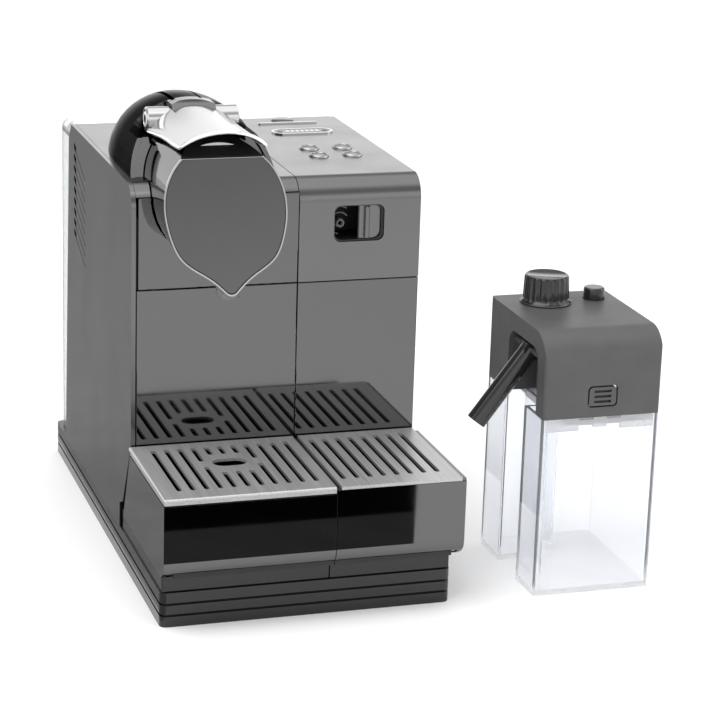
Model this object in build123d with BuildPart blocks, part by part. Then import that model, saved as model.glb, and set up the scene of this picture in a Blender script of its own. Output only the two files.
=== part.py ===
"""Pod coffee machine with a lever head, a capsule drawer, a rear water tank and a milk jug.

Millimetres. +X is to the right seen from the front, the front faces -Y and +Z is up.
The origin is on the table, in the middle of the machine's width and of its overall depth.
"""

import os
from math import atan2, cos, degrees, hypot, radians, sin, sqrt, tan

from build123d import *

os.makedirs("parts", exist_ok=True)

# ---------------------------------------------------------------- driving dimensions
# Machine body
width = 168.0  # across both side panels
depth = 321.0  # tray front to tank back
top_z = 229.5  # flat top
skin = 2.5  # outer skins
seam = 0.4  # shadow gap between two fixed skins
slide_gap = 0.3  # gap beside a piece that slides or lifts
running_gap = 0.03  # radial gap of a pin that turns in a bore
fascia_setback = 90.5  # upright front face, behind the tray fronts
top_round = 13.0  # front edge of the top
seam_x = 12.0  # upright joint line between the brew side and the milk side
seam_z = 170.4  # level joint line across the fascia
lip_z = 223.0  # lower edge of the left top cover's lip

# Base
base_setback = 14.5  # base front, behind the tray fronts
base_inset = 0.35  # base side, inside the side panels
base_height = 20.0
base_corner = 4.0
base_wall = 3.0
base_floor = 5.0  # top of the base's floor
groove_height = 1.4
groove_depth = 2.0
groove_levels = (6.0, 12.6)
bed_height = 12.0  # plinth under the drip trays
bed_back = -43.0
foot_radius = 8.0
foot_height = 2.4
foot_inset = 20.0

# Back and tank
rear_top_y = 104.0  # back edge of the flat top
rear_shoulder_y = 112.0
rear_shoulder_z = 221.0
rear_foot_y = 126.0
tank_side_inset = 3.5
tank_wall = 2.2
tank_height = 196.0
tank_floor = 3.0
tank_corner = 8.0
lid_height = 7.5
lid_round = 6.0
valve_radius = 9.0

# Head
head_x = -38.0
head_z = 223.0
head_radius = 34.5
head_wall = 3.0
head_length = 43.0  # behind the fascia
face_reach = 28.0  # from the fascia to the face plane, at the height of the head's axis
face_lean = 19.4  # degrees that the face leans back
face_top_z = 248.5
beak_tip_z = 176.5
beak_tip_radius = 5.0
beak_flank = ((32.4, 15.0), (26.8, 27.6), (14.5, 36.0))  # beside and below the head's axis
scoop_rise = 9.5  # height gained by the finger scoop over its run
scoop_run = 26.0
bezel_width = 0.8
bezel_height = 1.0
face_gap = 0.5
face_plate_height = 0.8

# Dome
dome_radius = 42.0
dome_z = 225.0
# the dome and the lever are placed by their distance behind the fascia
dome_straight = 66.0  # back end of the dome's straight stretch
dome_length = 86.0
dome_foot = 22.0  # front edge of the dome at the flat top
dome_crown = 52.0  # front edge of the dome at its crown
dome_slots = ((-9.5, 2.4), (6.5, 1.6))  # place beside the head's axis, width
dome_slot_span = (57.5, 105.0)

# Lever
hinge_setback = 53.0
hinge_z = 256.5
knuckle_radius = 6.8
lever_half = 27.0
lever_tip_half = 24.0
lever_length = 81.0  # from the hinge to the nose
lever_nose_round = 7.0
lever_rear_gap = 10.5  # between the hinge and the lever's rear edge
lever_arch = 33.0
lever_crown = 8.6  # top of the lever's arch, above the hinge
lever_thickness = 2.4
knuckle_length = 14.0
pin_radius = 2.5

# Fascia openings and controls
port_x = (32.7, 62.3)
port_z = (193.0, 214.0)
port_round = 4.0
door_width = 30.0
door_left = 47.4
door_thickness = 1.8
nozzle_x = 38.3
nozzle_z = 202.2
nozzle_radius = 2.6
nozzle_bore = 1.2
liner_depth = 24.0
button_radius = 5.85
button_gap = 0.25
button_proud = 1.4
button_travel = 1.0
button_columns = (41.0, 61.5)
button_rows = (-8.5, 12.0)
badge_x = 50.3
badge_y = 59.5
badge_size = (38.5, 15.0)

# Trays
tray_top = 79.5
tray_flare = 1.5  # tray side, outside the side panels
tray_wall = 2.2
tray_bottom = 33.0
tray_back = -8.0
tray_front_thickness = 3.0
tray_curve = 11.0
tray_tuck = 8.5  # how far the front's foot curves back under the tray
grid_thickness = 1.8
grid_back_gap = 1.6
left_rim = 4.0  # height of the left grid's rim
right_rim = 1.8
slot_width = 3.0
left_slots = (11, -74.0, 7.7)  # count, first x, pitch
right_slots = (8, 18.5, 7.75)
slot_span = (-148.0, -80.0)
drain_x = -36.0
drain_y = -107.5
drain_size = (19.5, 12.0)
bin_top = 165.0
bin_back = -12.0

# Milk jug
jug_x = 168.5
jug_width = 71.0
jug_front = -150.0
jug_back = -61.0
jug_seam_z = 105.6
jug_top_z = 154.0
jug_wall = 2.2
jug_corner = 2.5
jug_floor = 3.0
jug_round = 17.0
channel_y = (-121.5, -92.0)
channel_depth = 12.0
recess_y = (-138.5, -92.5)
recess_depth = 18.0
recess_round = 9.0
head_skin = 2.6
knob_offset = -9.0  # froth knob, beside the jug's middle
knob_y = -80.0
knob_radius = 14.0
knob_height = 16.5
knob_flutes = 18
clean_offset = 22.0  # cleaning button, beside the jug's middle
clean_y = -78.0
clean_radius = 6.3
clean_height = 7.0
release_z = 117.6
release_size = (16.2, 10.8)
release_gap = 0.9
spout_y = -114.0
spout_z = 137.0
spout_radius = 5.8
spout_bore = 3.6
spout_length = 52.0
spout_lean = 37.0
spout_axle = 2.0
suction_radius = 4.0
connector_radius = 5.0
connector_length = 10.0
connector_z = 119.2

# ---------------------------------------------------------------- derived places
half = width / 2
inner = half - skin  # inner face of the side panels
front_y = -depth / 2
back_y = depth / 2
fascia_y = front_y + fascia_setback
fascia_back = fascia_y + skin
head_back = fascia_y + head_length
face_y = fascia_y - face_reach
beak_end = face_y - 20  # end of the form that the face plane cuts
dome_start = fascia_y + dome_straight
dome_front_low = fascia_y + dome_foot
dome_front_high = fascia_y + dome_crown
dome_slot_y = [fascia_y + place for place in dome_slot_span]
hinge_y = fascia_y + hinge_setback
lever_nose = hinge_y - lever_length
lever_front = lever_nose + lever_nose_round
lever_rear = hinge_y - lever_rear_gap
tray_half = half + tray_flare
base_front = front_y + base_setback
base_half = half - base_inset
bed_top = base_height + bed_height
bed_front = base_front + 1.5
face_slope = tan(radians(face_lean))
left_seam = seam_x - seam / 2
right_seam = seam_x + seam / 2
liner_thickness = 1.2
liner_inner = inner - seam - liner_thickness
grid_top = tray_top
grid_bottom = grid_top - grid_thickness
tub_top = grid_bottom - seam
fascia_foot = tub_top + seam  # the fascia stands just above the trays
tray_seam_left = seam_x - 0.7 - seam / 2
tray_seam_right = tray_seam_left + seam
jug_left = jug_x - jug_width / 2
knob_x = jug_x + knob_offset
clean_x = jug_x + clean_offset
jug_right = jug_x + jug_width / 2
recess_top = spout_z + spout_radius + 0.8


# ---------------------------------------------------------------- shared shapes
def block(x0, x1, y0, y1, z0, z1, mode=Mode.ADD):
    """A box between two corners, in the part being built."""
    with Locations(((x0 + x1) / 2, (y0 + y1) / 2, (z0 + z1) / 2)):
        Box(x1 - x0, y1 - y0, z1 - z0, mode=mode)


def rod(start, length, radius, along, mode=Mode.ADD):
    """A round rod from a start point, along +X, +Y or +Z."""
    turn = {"x": (0, 90, 0), "y": (-90, 0, 0), "z": (0, 0, 0)}[along]
    with Locations(Location(start, turn)):
        Cylinder(radius, length, align=(Align.CENTER, Align.CENTER, Align.MIN), mode=mode)


def face_at(z):
    """Where the head's face plane stands at a height."""
    return face_y + (z - head_z) * face_slope


def rear_at(z):
    """Where the back of the body stands at a height."""
    share = (rear_shoulder_z - z) / (rear_shoulder_z - base_height)
    return rear_shoulder_y + (rear_foot_y - rear_shoulder_y) * share


# ---------------------------------------------------------------- base
base_mid = (base_front + back_y) / 2
base_depth = back_y - base_front
deck_front = rear_foot_y - base_wall  # the tank stands on the solid deck behind this line

with BuildPart() as base_pan:
    with BuildSketch():
        with Locations((0, base_mid)):
            RectangleRounded(2 * base_half, base_depth, base_corner)
    extrude(amount=base_height)
    for level in groove_levels:
        with BuildSketch(Plane.XY.offset(level)):
            with Locations((0, base_mid)):
                RectangleRounded(2 * base_half, base_depth, base_corner)
                RectangleRounded(
                    2 * (base_half - groove_depth),
                    base_depth - 2 * groove_depth,
                    base_corner - groove_depth,
                    mode=Mode.SUBTRACT,
                )
        extrude(amount=groove_height, mode=Mode.SUBTRACT)
    block(
        -base_half + base_wall,
        base_half - base_wall,
        base_front + base_wall,
        deck_front,
        base_floor,
        base_height,
        mode=Mode.SUBTRACT,
    )
    # sockets for the feet
    with BuildSketch():
        with Locations((0, base_mid)):
            with GridLocations(2 * (base_half - foot_inset), base_depth - 2 * foot_inset, 2, 2):
                Circle(foot_radius)
    extrude(amount=foot_height, mode=Mode.SUBTRACT)
    # cable gland's hole in the back
    gland_x = half - 24
    gland_z = base_height / 2
    gland_radius = 6.0
    gland_depth = 8.0
    cord_radius = 3.6  # of the lead that the gland holds
    rod((gland_x, back_y - gland_depth, gland_z), gland_depth, gland_radius, "y", Mode.SUBTRACT)

with BuildPart() as rubber_feet:
    with BuildSketch():
        with Locations((0, base_mid)):
            with GridLocations(2 * (base_half - foot_inset), base_depth - 2 * foot_inset, 2, 2):
                Circle(foot_radius)
    extrude(amount=foot_height)

with BuildPart() as cable_gland:
    rod((gland_x, back_y - gland_depth, gland_z), gland_depth, gland_radius, "y")
    rod((gland_x, back_y - gland_depth + 2, gland_z), gland_depth, cord_radius, "y", Mode.SUBTRACT)


def tray_bed(x0, x1):
    """Plinth that a drip tray slides on, hollow from below."""
    with BuildPart() as bed:
        block(x0, x1, bed_front, bed_back, base_height, bed_top)
        block(
            x0 + skin, x1 - skin, bed_front + skin, bed_back - skin,
            base_height, bed_top - skin, mode=Mode.SUBTRACT,
        )
    return bed


bed_half = base_half - 0.8
tray_bed_left = tray_bed(-bed_half, left_seam + 0.5)
tray_bed_right = tray_bed(right_seam + 0.5, bed_half)

# ---------------------------------------------------------------- side panels
panel_front_low = -49.0  # front edge at the foot of the slope
panel_slope_z = 39.0
panel_step_y = -40.0
louvre_count = 9
louvre_pitch = 6.7
louvre_first_z = 158.0
louvre_y = 78.0
louvre_length = 38.0
louvre_width = 3.6
louvre_tilt = 22.0


def side_outline(cover):
    """Outline of a side panel in the YZ plane, set back where a cover laps over its edge."""
    front, top, turn = fascia_y + cover, top_z - cover, top_round - cover
    with BuildLine() as outline:
        Polyline(
            (front, top - turn),
            (front, fascia_foot + 1),
            (panel_front_low, panel_slope_z),
            (panel_step_y, panel_slope_z - 4),
            (panel_step_y, base_height),
            (rear_at(base_height), base_height),
            (rear_at(rear_shoulder_z), rear_shoulder_z),
            (rear_top_y + cover / 2, top),
            (front + turn, top),
        )
        RadiusArc((front + turn, top), (front, top - turn), -turn)
    return outline.line


def side_panel(x0, cover):
    with BuildPart() as panel:
        with BuildSketch(Plane.YZ.offset(x0)):
            add(side_outline(cover))
            make_face()
        extrude(amount=skin)
        with BuildSketch(Plane.YZ.offset(x0)):
            for i in range(louvre_count):
                with Locations((louvre_y, louvre_first_z + i * louvre_pitch)):
                    SlotOverall(louvre_length, louvre_width, rotation=louvre_tilt)
        extrude(amount=skin, mode=Mode.SUBTRACT)
    return panel


left_side_panel = side_panel(-half, 0)
right_side_panel = side_panel(inner, skin + seam)


liner_reach = 3.5  # the liner shows this far in front of the side panel


def side_liner(x0):
    """Inner wall beside a side panel, which shows in the recess behind the tray's side."""
    with BuildPart() as liner:
        with BuildSketch(Plane.YZ.offset(x0)):
            with BuildLine():
                Polyline(
                    (fascia_back + seam, lip_z - 12),
                    (fascia_back + seam, fascia_foot - seam),
                    (fascia_y - liner_reach, fascia_foot - seam),
                    (panel_front_low - liner_reach, bed_top + 1),
                    (bed_back + 1, bed_top + 1),
                    (bed_back + 1, base_height),
                    (rear_at(base_height) - skin - 2, base_height),
                    (rear_top_y - skin - 2, lip_z - 12),
                    close=True,
                )
            make_face()
        extrude(amount=liner_thickness)
        # air way behind the louvres
        block(
            x0, x0 + liner_thickness,
            louvre_y - louvre_length / 2, louvre_y + louvre_length / 2,
            louvre_first_z - 8, louvre_first_z + louvre_count * louvre_pitch + 2,
            mode=Mode.SUBTRACT,
        )
    return liner


left_liner = side_liner(-inner + seam)
right_liner = side_liner(inner - seam - liner_thickness)

# ---------------------------------------------------------------- top and fascia
cover_half = inner - seam / 2
head_clear = 0.5  # gap round the head where it passes the skins


def cover_section():
    """Outline of a top skin with its rounded front edge, in the YZ plane, down to the lip."""
    with BuildLine() as outline:
        Line((rear_top_y - seam, top_z), (fascia_y + top_round, top_z))
        RadiusArc((fascia_y + top_round, top_z), (fascia_y, top_z - top_round), -top_round)
        Line((fascia_y, top_z - top_round), (fascia_back, top_z - top_round))
        RadiusArc(
            (fascia_back, top_z - top_round),
            (fascia_y + top_round, top_z - skin),
            top_round - skin,
        )
        Polyline(
            (fascia_y + top_round, top_z - skin),
            (rear_top_y - seam, top_z - skin),
            (rear_top_y - seam, top_z),
        )
    return outline.line


with BuildPart() as top_cover_left:
    with BuildSketch(Plane.YZ.offset(-cover_half)):
        add(cover_section())
        make_face()
    extrude(amount=left_seam + cover_half)
    split(bisect_by=Plane.XY.offset(lip_z), keep=Keep.TOP)
    # the head passes through, and the brewing gear stands under the dome
    rod(
        (head_x, fascia_y - 1, head_z), head_length + 10,
        head_radius + head_clear, "y", Mode.SUBTRACT,
    )
    well = sqrt((dome_radius - 6) ** 2 - (top_z - dome_z) ** 2)
    well_back = dome_start + dome_length / 2 - 3
    block(head_x - well, head_x + well, head_back, well_back, lip_z, top_z, mode=Mode.SUBTRACT)

with BuildPart() as control_cover:
    with BuildSketch(Plane.YZ.offset(right_seam)):
        add(cover_section())
        make_face()
    extrude(amount=half - right_seam)
    block(right_seam, half, fascia_y, fascia_back, seam_z + seam / 2, top_z - top_round)
    # steam port
    with BuildSketch(Plane.XZ.offset(-fascia_y)):
        with Locations((sum(port_x) / 2, sum(port_z) / 2)):
            RectangleRounded(port_x[1] - port_x[0], port_z[1] - port_z[0], port_round)
    extrude(amount=-skin, mode=Mode.SUBTRACT)
    # button holes
    for x in button_columns:
        for y in button_rows:
            rod((x, y, top_z - skin), skin, button_radius + button_gap, "z", Mode.SUBTRACT)

with BuildPart() as fascia_upper_left:
    block(-cover_half + 1.2, left_seam, fascia_y, fascia_back, seam_z + seam / 2, lip_z - seam)
    rod((head_x, fascia_y, head_z), skin, head_radius + head_clear, "y", Mode.SUBTRACT)

with BuildPart() as fascia_lower_right:
    block(right_seam, half, fascia_y, fascia_back, fascia_foot, seam_z - seam / 2)

with BuildPart() as rear_cover:
    with BuildSketch(Plane.YZ.offset(-cover_half)):
        with BuildLine():
            Polyline(
                (rear_top_y, top_z),
                (rear_at(rear_shoulder_z), rear_shoulder_z),
                (rear_at(base_height), base_height),
                (rear_at(base_height) - skin, base_height),
                (rear_at(rear_shoulder_z) - skin, rear_shoulder_z - 1),
                (rear_top_y, top_z - skin - 1),
                close=True,
            )
        make_face()
    extrude(amount=2 * cover_half)

# ---------------------------------------------------------------- chassis
with BuildPart() as centre_wall:
    block(seam_x + 1, seam_x + 3, fascia_back + 1, rear_top_y - 12, tray_top + 1, top_z - skin - 12)

shelf_z = seam_z - 3.4
with BuildPart() as brew_shelf:
    block(-liner_inner + seam, seam_x - seam, fascia_back + seam, rear_top_y - 12, shelf_z, shelf_z + 2.4)

# ---------------------------------------------------------------- head
tip_centre = head_z - beak_tip_z - beak_tip_radius  # tip's centre below the head's axis


def beak_section(inset, pointed):
    """A round top with flanks that curve in to a small tip, or the plain circle in four arcs."""
    radius = head_radius - inset
    tip_radius = beak_tip_radius - inset
    with BuildLine() as outline:
        ThreePointArc((radius, 0), (0, radius), (-radius, 0))
        if pointed:
            flank = [
                (x * (1 - inset / hypot(x, drop)), -drop * (1 - inset / hypot(x, drop)))
                for x, drop in beak_flank
            ]
            reach = tip_radius * cos(radians(45))
            tip = (reach, -tip_centre - tip_radius * sin(radians(45)))
            left = [(-radius, 0)] + [(-x, z) for x, z in flank] + [(-tip[0], tip[1])]
            right = [(-x, z) for x, z in reversed(left)]
            Spline(*left, tangents=[(0, -1), (1, -1)])
            ThreePointArc((-tip[0], tip[1]), (0, -tip_centre - tip_radius), tip)
            Spline(*right, tangents=[(1, 1), (0, 1)])
        else:
            low, middle = radians(80), radians(40)
            low_left = (-radius * cos(low), -radius * sin(low))
            low_right = (-low_left[0], low_left[1])
            side = (radius * cos(middle), -radius * sin(middle))
            ThreePointArc((-radius, 0), (-side[0], side[1]), low_left)
            ThreePointArc(low_left, (0, -radius), low_right)
            ThreePointArc(low_right, side, (radius, 0))
    return outline.line


def beak(inset):
    """The head's outer form, from the fascia to past the face plane, drawn in by an inset."""
    with BuildPart() as form:
        with BuildSketch(Plane((head_x, fascia_y, head_z), x_dir=(1, 0, 0), z_dir=(0, -1, 0))):
            add(beak_section(inset, pointed=False))
            make_face()
        with BuildSketch(Plane((head_x, beak_end, head_z), x_dir=(1, 0, 0), z_dir=(0, -1, 0))):
            add(beak_section(inset, pointed=True))
            make_face()
        loft()
    return form.part


face_plane = Plane(
    (head_x, face_y, head_z),
    x_dir=(1, 0, 0),
    z_dir=(0, -cos(radians(face_lean)), sin(radians(face_lean))),
)


def face_slice(inset, height, lift=0.0):
    """A thin slice of the head's form on the face plane, below the face's top edge."""
    form = beak(inset)
    with BuildPart() as piece:
        add(form)
        split(bisect_by=face_plane.offset(lift), keep=Keep.TOP)
        split(bisect_by=face_plane.offset(lift + height), keep=Keep.BOTTOM)
        split(bisect_by=Plane.XY.offset(face_top_z - 0.4 * inset), keep=Keep.BOTTOM)
    return piece.part


chamber_y = face_y + 20  # front end of the brewing chamber
outlet_radius = 6.5
nozzle_y = face_at(beak_tip_z) + outlet_radius + 3
spout_bottom = beak_tip_z - 2.1
spout_top = beak_tip_z + 7.5
duct_radius = 2.5
duct_z = head_z - head_radius + head_wall + duct_radius + 1

outer_beak = beak(0)
with BuildPart() as head_tube:
    add(outer_beak)
    split(bisect_by=face_plane, keep=Keep.BOTTOM)
    rod((head_x, fascia_y, head_z), head_back - fascia_y, head_radius, "y")
    # hollow for the brewing chamber
    rod((head_x, chamber_y, head_z), head_back - chamber_y, head_radius - head_wall, "y", Mode.SUBTRACT)
    # finger scoop under the lever's nose
    with BuildSketch(Plane.YZ.offset(head_x - head_radius)):
        with BuildLine():
            Polyline(
                (face_at(face_top_z) - 1, face_top_z),
                (face_at(face_top_z), face_top_z),
                (face_at(face_top_z) + scoop_run, face_top_z + scoop_rise),
                (face_at(face_top_z) - 1, face_top_z + scoop_rise),
                close=True,
            )
        make_face()
    extrude(amount=2 * head_radius, mode=Mode.SUBTRACT)
    # slot that the pod drops through
    pod_slot = (30.0, 24.0)
    pod_slot_y = fascia_y + 18
    block(
        head_x - pod_slot[0] / 2, head_x + pod_slot[0] / 2,
        pod_slot_y - pod_slot[1] / 2, pod_slot_y + pod_slot[1] / 2,
        head_z, head_z + head_radius, mode=Mode.SUBTRACT,
    )
    # bore for the coffee spout
    rod((head_x, nozzle_y, spout_bottom), spout_top - spout_bottom, outlet_radius, "z", Mode.SUBTRACT)
    rod((head_x, nozzle_y, spout_top), duct_z - spout_top, duct_radius, "z", Mode.SUBTRACT)
    rod((head_x, nozzle_y, duct_z), chamber_y - nozzle_y, duct_radius, "y", Mode.SUBTRACT)

bezel_outer = face_slice(0, bezel_height)
bezel_inner = face_slice(bezel_width, bezel_height * 3, -bezel_height)
with BuildPart() as face_bezel:
    add(bezel_outer)
    add(bezel_inner, mode=Mode.SUBTRACT)

face_panel = face_slice(bezel_width + face_gap, face_plate_height)
with BuildPart() as face_plate:
    add(face_panel)

with BuildPart() as coffee_spout:
    rod((head_x, nozzle_y, spout_bottom), spout_top - spout_bottom, outlet_radius, "z")
    rod((head_x, nozzle_y, spout_bottom), spout_top - spout_bottom - 3, outlet_radius - 2, "z", Mode.SUBTRACT)

plate_thickness = 3.0
with BuildPart() as extraction_plate:
    rod((head_x, chamber_y, head_z), plate_thickness, head_radius - head_wall, "y")
    for i in range(-3, 4):
        for j in range(-3, 4):
            if hypot(i, j) * 4 < 13:
                rod((head_x + 4 * i, chamber_y, head_z + 4 * j), plate_thickness, 0.8, "y", Mode.SUBTRACT)

piston_radius = 17.0
piston_travel = 14.0
piston_front = chamber_y + plate_thickness + 1.0
piston_back = head_back + 7
cup_depth = 26.0
cup_radius = 14.5
with BuildPart() as brew_piston:
    rod((head_x, piston_front, head_z), piston_back - piston_front, piston_radius, "y")
    rod((head_x, piston_front, head_z), cup_depth, cup_radius, "y", Mode.SUBTRACT)
    rod((head_x, piston_back, head_z), 14, 8, "y")

# ---------------------------------------------------------------- dome and lever hinge
hinge_clear = 1.0  # radial room round the knuckles
notch_back = hinge_y + knuckle_radius + hinge_clear
notch_z = hinge_z - knuckle_radius - hinge_clear
bridge_half = lever_half - knuckle_length - 0.4
arch_z = hinge_z + lever_crown - lever_arch  # centre of the lever's arched section
wing_drop = sqrt((lever_arch - lever_thickness) ** 2 - lever_half**2)
wing_z = arch_z + wing_drop - hinge_clear  # clear of the lower edge of the lever's wings
# rooms for the lever in the dome: half width, floor
lever_rooms = ((dome_radius, notch_z), (lever_half + hinge_clear, wing_z))


def dome_form(inset):
    """Half barrel with a long rounded tail, lying on the head's axis."""
    radius = dome_radius - inset
    tail = dome_start + dome_length - inset
    with BuildPart() as form:
        with BuildSketch(Plane((head_x, 0, dome_z), x_dir=(0, 1, 0), z_dir=(1, 0, 0))):
            with BuildLine():
                Line((dome_front_low - 2, 0), (dome_front_low - 2, radius))
                Line((dome_front_low - 2, radius), (dome_start, radius))
                EllipticalCenterArc(
                    (dome_start, 0), tail - dome_start, radius, start_angle=0, arc_size=90
                )
                Line((tail, 0), (dome_front_low - 2, 0))
            make_face()
        revolve(axis=Axis((head_x, 0, dome_z), (0, 1, 0)), revolution_arc=360)
    return form.part


dome_lean = degrees(atan2(dome_front_high - dome_front_low, dome_z + dome_radius - top_z))
dome_front = Plane(
    (head_x, dome_front_low, top_z),
    x_dir=(1, 0, 0),
    z_dir=(0, -cos(radians(dome_lean)), sin(radians(dome_lean))),
)

dome_outer = dome_form(0)
dome_inner = dome_form(skin)
flange_setback = 1.5  # of the dome's front wall, behind its front edge
with BuildPart() as dome_core:
    # what is left solid: a front wall round the head, and the walls of the lever's notch
    add(dome_outer)
    split(bisect_by=dome_front.offset(-flange_setback), keep=Keep.BOTTOM)
with BuildPart() as dome_hollow:
    add(dome_inner)
    split(bisect_by=dome_front.offset(-flange_setback - skin), keep=Keep.BOTTOM)
    for half_width, floor_z in lever_rooms:
        block(
            head_x - half_width - skin, head_x + half_width + skin,
            dome_front_low - skin, notch_back + skin,
            floor_z - skin, dome_z + dome_radius + 1, mode=Mode.SUBTRACT,
        )

with BuildPart() as dome_cover:
    add(dome_outer)
    add(dome_inner, mode=Mode.SUBTRACT)
    add(dome_core.part)
    add(dome_hollow.part, mode=Mode.SUBTRACT)
    split(bisect_by=Plane.XY.offset(top_z), keep=Keep.TOP)
    split(bisect_by=dome_front, keep=Keep.BOTTOM)
    # room for the lever and its knuckles, and for the head
    for half_width, floor_z in lever_rooms:
        block(
            head_x - half_width, head_x + half_width, dome_front_low - skin, notch_back,
            floor_z, dome_z + dome_radius + 1, mode=Mode.SUBTRACT,
        )
    rod(
        (head_x, dome_front_low - skin, head_z), notch_back + skin - dome_front_low,
        head_radius + head_clear, "y", Mode.SUBTRACT,
    )
    # two slots in the crown
    for offset_x, slot in dome_slots:
        block(
            head_x + offset_x - slot / 2, head_x + offset_x + slot / 2, *dome_slot_y,
            dome_z + dome_radius - 12, dome_z + dome_radius + 1, mode=Mode.SUBTRACT,
        )

sweep_radius = hinge_y - lever_rear - 0.8  # stays inside the path of the lever's rear edge
with BuildPart() as bracket_room:
    rod((head_x - bridge_half, hinge_y, hinge_z), 2 * bridge_half, sweep_radius, "x")
    block(
        head_x - bridge_half, head_x + bridge_half,
        hinge_y, notch_back, notch_z, dome_z + dome_radius,
    )

with BuildPart() as lever_bracket:
    # bridge between the knuckles, its crown in line with the dome
    add(dome_outer)
    split(bisect_by=Plane.XY.offset(notch_z + 0.5), keep=Keep.TOP)
    split(bisect_by=Plane.XZ.offset(-(notch_back - 2 * running_gap)), keep=Keep.TOP)
    split(bisect_by=Plane.YZ.offset(head_x - bridge_half), keep=Keep.TOP)
    split(bisect_by=Plane.YZ.offset(head_x + bridge_half), keep=Keep.BOTTOM)
    add(bracket_room.part, mode=Mode.INTERSECT)
    rod(
        (head_x - bridge_half, hinge_y, hinge_z), 2 * bridge_half,
        pin_radius + running_gap, "x", Mode.SUBTRACT,
    )
    # front ends of the crown's slots
    for offset_x, slot in dome_slots:
        block(
            head_x + offset_x - slot / 2, head_x + offset_x + slot / 2,
            dome_slot_y[0], notch_back, dome_z + dome_radius - 4, dome_z + dome_radius + 1,
            mode=Mode.SUBTRACT,
        )

with BuildPart() as lever_handle:
    with BuildSketch(Plane.XZ.offset(-(hinge_y))):
        with Locations((head_x, arch_z)):
            Circle(lever_arch)
            Circle(lever_arch - lever_thickness, mode=Mode.SUBTRACT)
    extrude(amount=hinge_y - lever_nose)
    # plan outline: wings to each side, nose in the middle
    with BuildSketch(Plane.XY.offset(arch_z)):
        with BuildLine():
            Polyline(
                (head_x - lever_tip_half, lever_front),
                (head_x - lever_half, hinge_y),
                (head_x - bridge_half - 0.4, hinge_y),
                (head_x - bridge_half - 0.4, lever_rear),
                (head_x + bridge_half + 0.4, lever_rear),
                (head_x + bridge_half + 0.4, hinge_y),
                (head_x + lever_half, hinge_y),
                (head_x + lever_tip_half, lever_front),
            )
            ThreePointArc(
                (head_x + lever_tip_half, lever_front),
                (head_x, lever_nose),
                (head_x - lever_tip_half, lever_front),
            )
        make_face()
    extrude(amount=lever_arch + 1, mode=Mode.INTERSECT)
    for x in (head_x - lever_half, head_x + lever_half - knuckle_length):
        rod((x, hinge_y, hinge_z), knuckle_length, knuckle_radius, "x")
    rod((head_x - lever_half, hinge_y, hinge_z), 2 * lever_half, pin_radius, "x", Mode.SUBTRACT)

with BuildPart() as lever_pin:
    rod((head_x - lever_half, hinge_y, hinge_z), 2 * lever_half, pin_radius, "x")

# ---------------------------------------------------------------- steam port
door_y = fascia_back + 0.2
liner_y = door_y + door_thickness + 0.2
liner_wall = 1.6
with BuildPart() as steam_port_liner:
    block(
        port_x[0] - liner_wall - 1, port_x[1] + liner_wall, liner_y, liner_y + liner_depth,
        port_z[0] - liner_wall, port_z[1] + liner_wall,
    )
    block(
        port_x[0] - 1, port_x[1], liner_y, liner_y + liner_depth - liner_wall,
        port_z[0], port_z[1], mode=Mode.SUBTRACT,
    )
    rod((nozzle_x, liner_y, nozzle_z), liner_depth, nozzle_radius, "y", Mode.SUBTRACT)

with BuildPart() as steam_nozzle:
    rod((nozzle_x, liner_y + 4, nozzle_z), liner_depth + 12, nozzle_radius, "y")
    rod((nozzle_x, liner_y + 4, nozzle_z), liner_depth + 12, nozzle_bore, "y", Mode.SUBTRACT)

ridge_x = door_left + 5.0
with BuildPart() as steam_door:
    block(
        door_left, door_left + door_width, door_y, door_y + door_thickness,
        port_z[0] - 1.4, port_z[1] + 1.4,
    )
    block(ridge_x - 1, ridge_x + 1, fascia_y + 0.5, door_y, port_z[0] + 1.5, port_z[1] - 1.5)

# ---------------------------------------------------------------- buttons and badge
stem_radius = 3.0
stem_length = 6.0


def top_button(x, y):
    with BuildPart() as button:
        rod((x, y, top_z - skin), skin + button_proud, button_radius, "z")
        rod((x, y, top_z - skin - stem_length), stem_length, stem_radius, "z")
    return button


espresso_button = top_button(button_columns[0], button_rows[1])
lungo_button = top_button(button_columns[1], button_rows[1])
cappuccino_button = top_button(button_columns[0], button_rows[0])
latte_button = top_button(button_columns[1], button_rows[0])

with BuildPart() as badge_plate:
    with BuildSketch(Plane.XY.offset(top_z)):
        with Locations((badge_x, badge_y)):
            SlotOverall(*badge_size)
    extrude(amount=0.8)

with BuildPart() as control_board:
    block(
        button_columns[0] - 12, button_columns[1] + 12,
        button_rows[0] - 14, button_rows[1] + 14,
        top_z - skin - stem_length - button_travel - 2.2,
        top_z - skin - stem_length - button_travel - 0.6,
    )

# ---------------------------------------------------------------- brewing gear inside
pump_radius = 19.0
pump_length = 72.0
pump_x = 50.0
pump_z = 104.0
with BuildPart() as water_pump:
    rod((pump_x, 0, pump_z), pump_length, pump_radius, "y")
    rod((pump_x, -14, pump_z), 14, 7, "y")
    rod((pump_x, pump_length, pump_z), 12, 4, "y")

block_size = (44.0, 62.0, 30.0)
block_place = (50.0, -8.0, 140.0)
with BuildPart() as thermoblock:
    with Locations(block_place):
        Box(*block_size)
    for dy in (-20, 20):
        rod((block_place[0], block_place[1] + dy, block_place[2] + block_size[2] / 2), 8, 4, "z")

hose_radius = 3.0


def hose(points, bend):
    """A hose along straight runs joined by tangent arcs."""
    with BuildPart() as pipe:
        with BuildLine():
            path = FilletPolyline(*points, radius=bend)
        with BuildSketch(Plane(path @ 0, z_dir=path % 0)):
            Circle(hose_radius)
        sweep()
    return pipe


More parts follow.
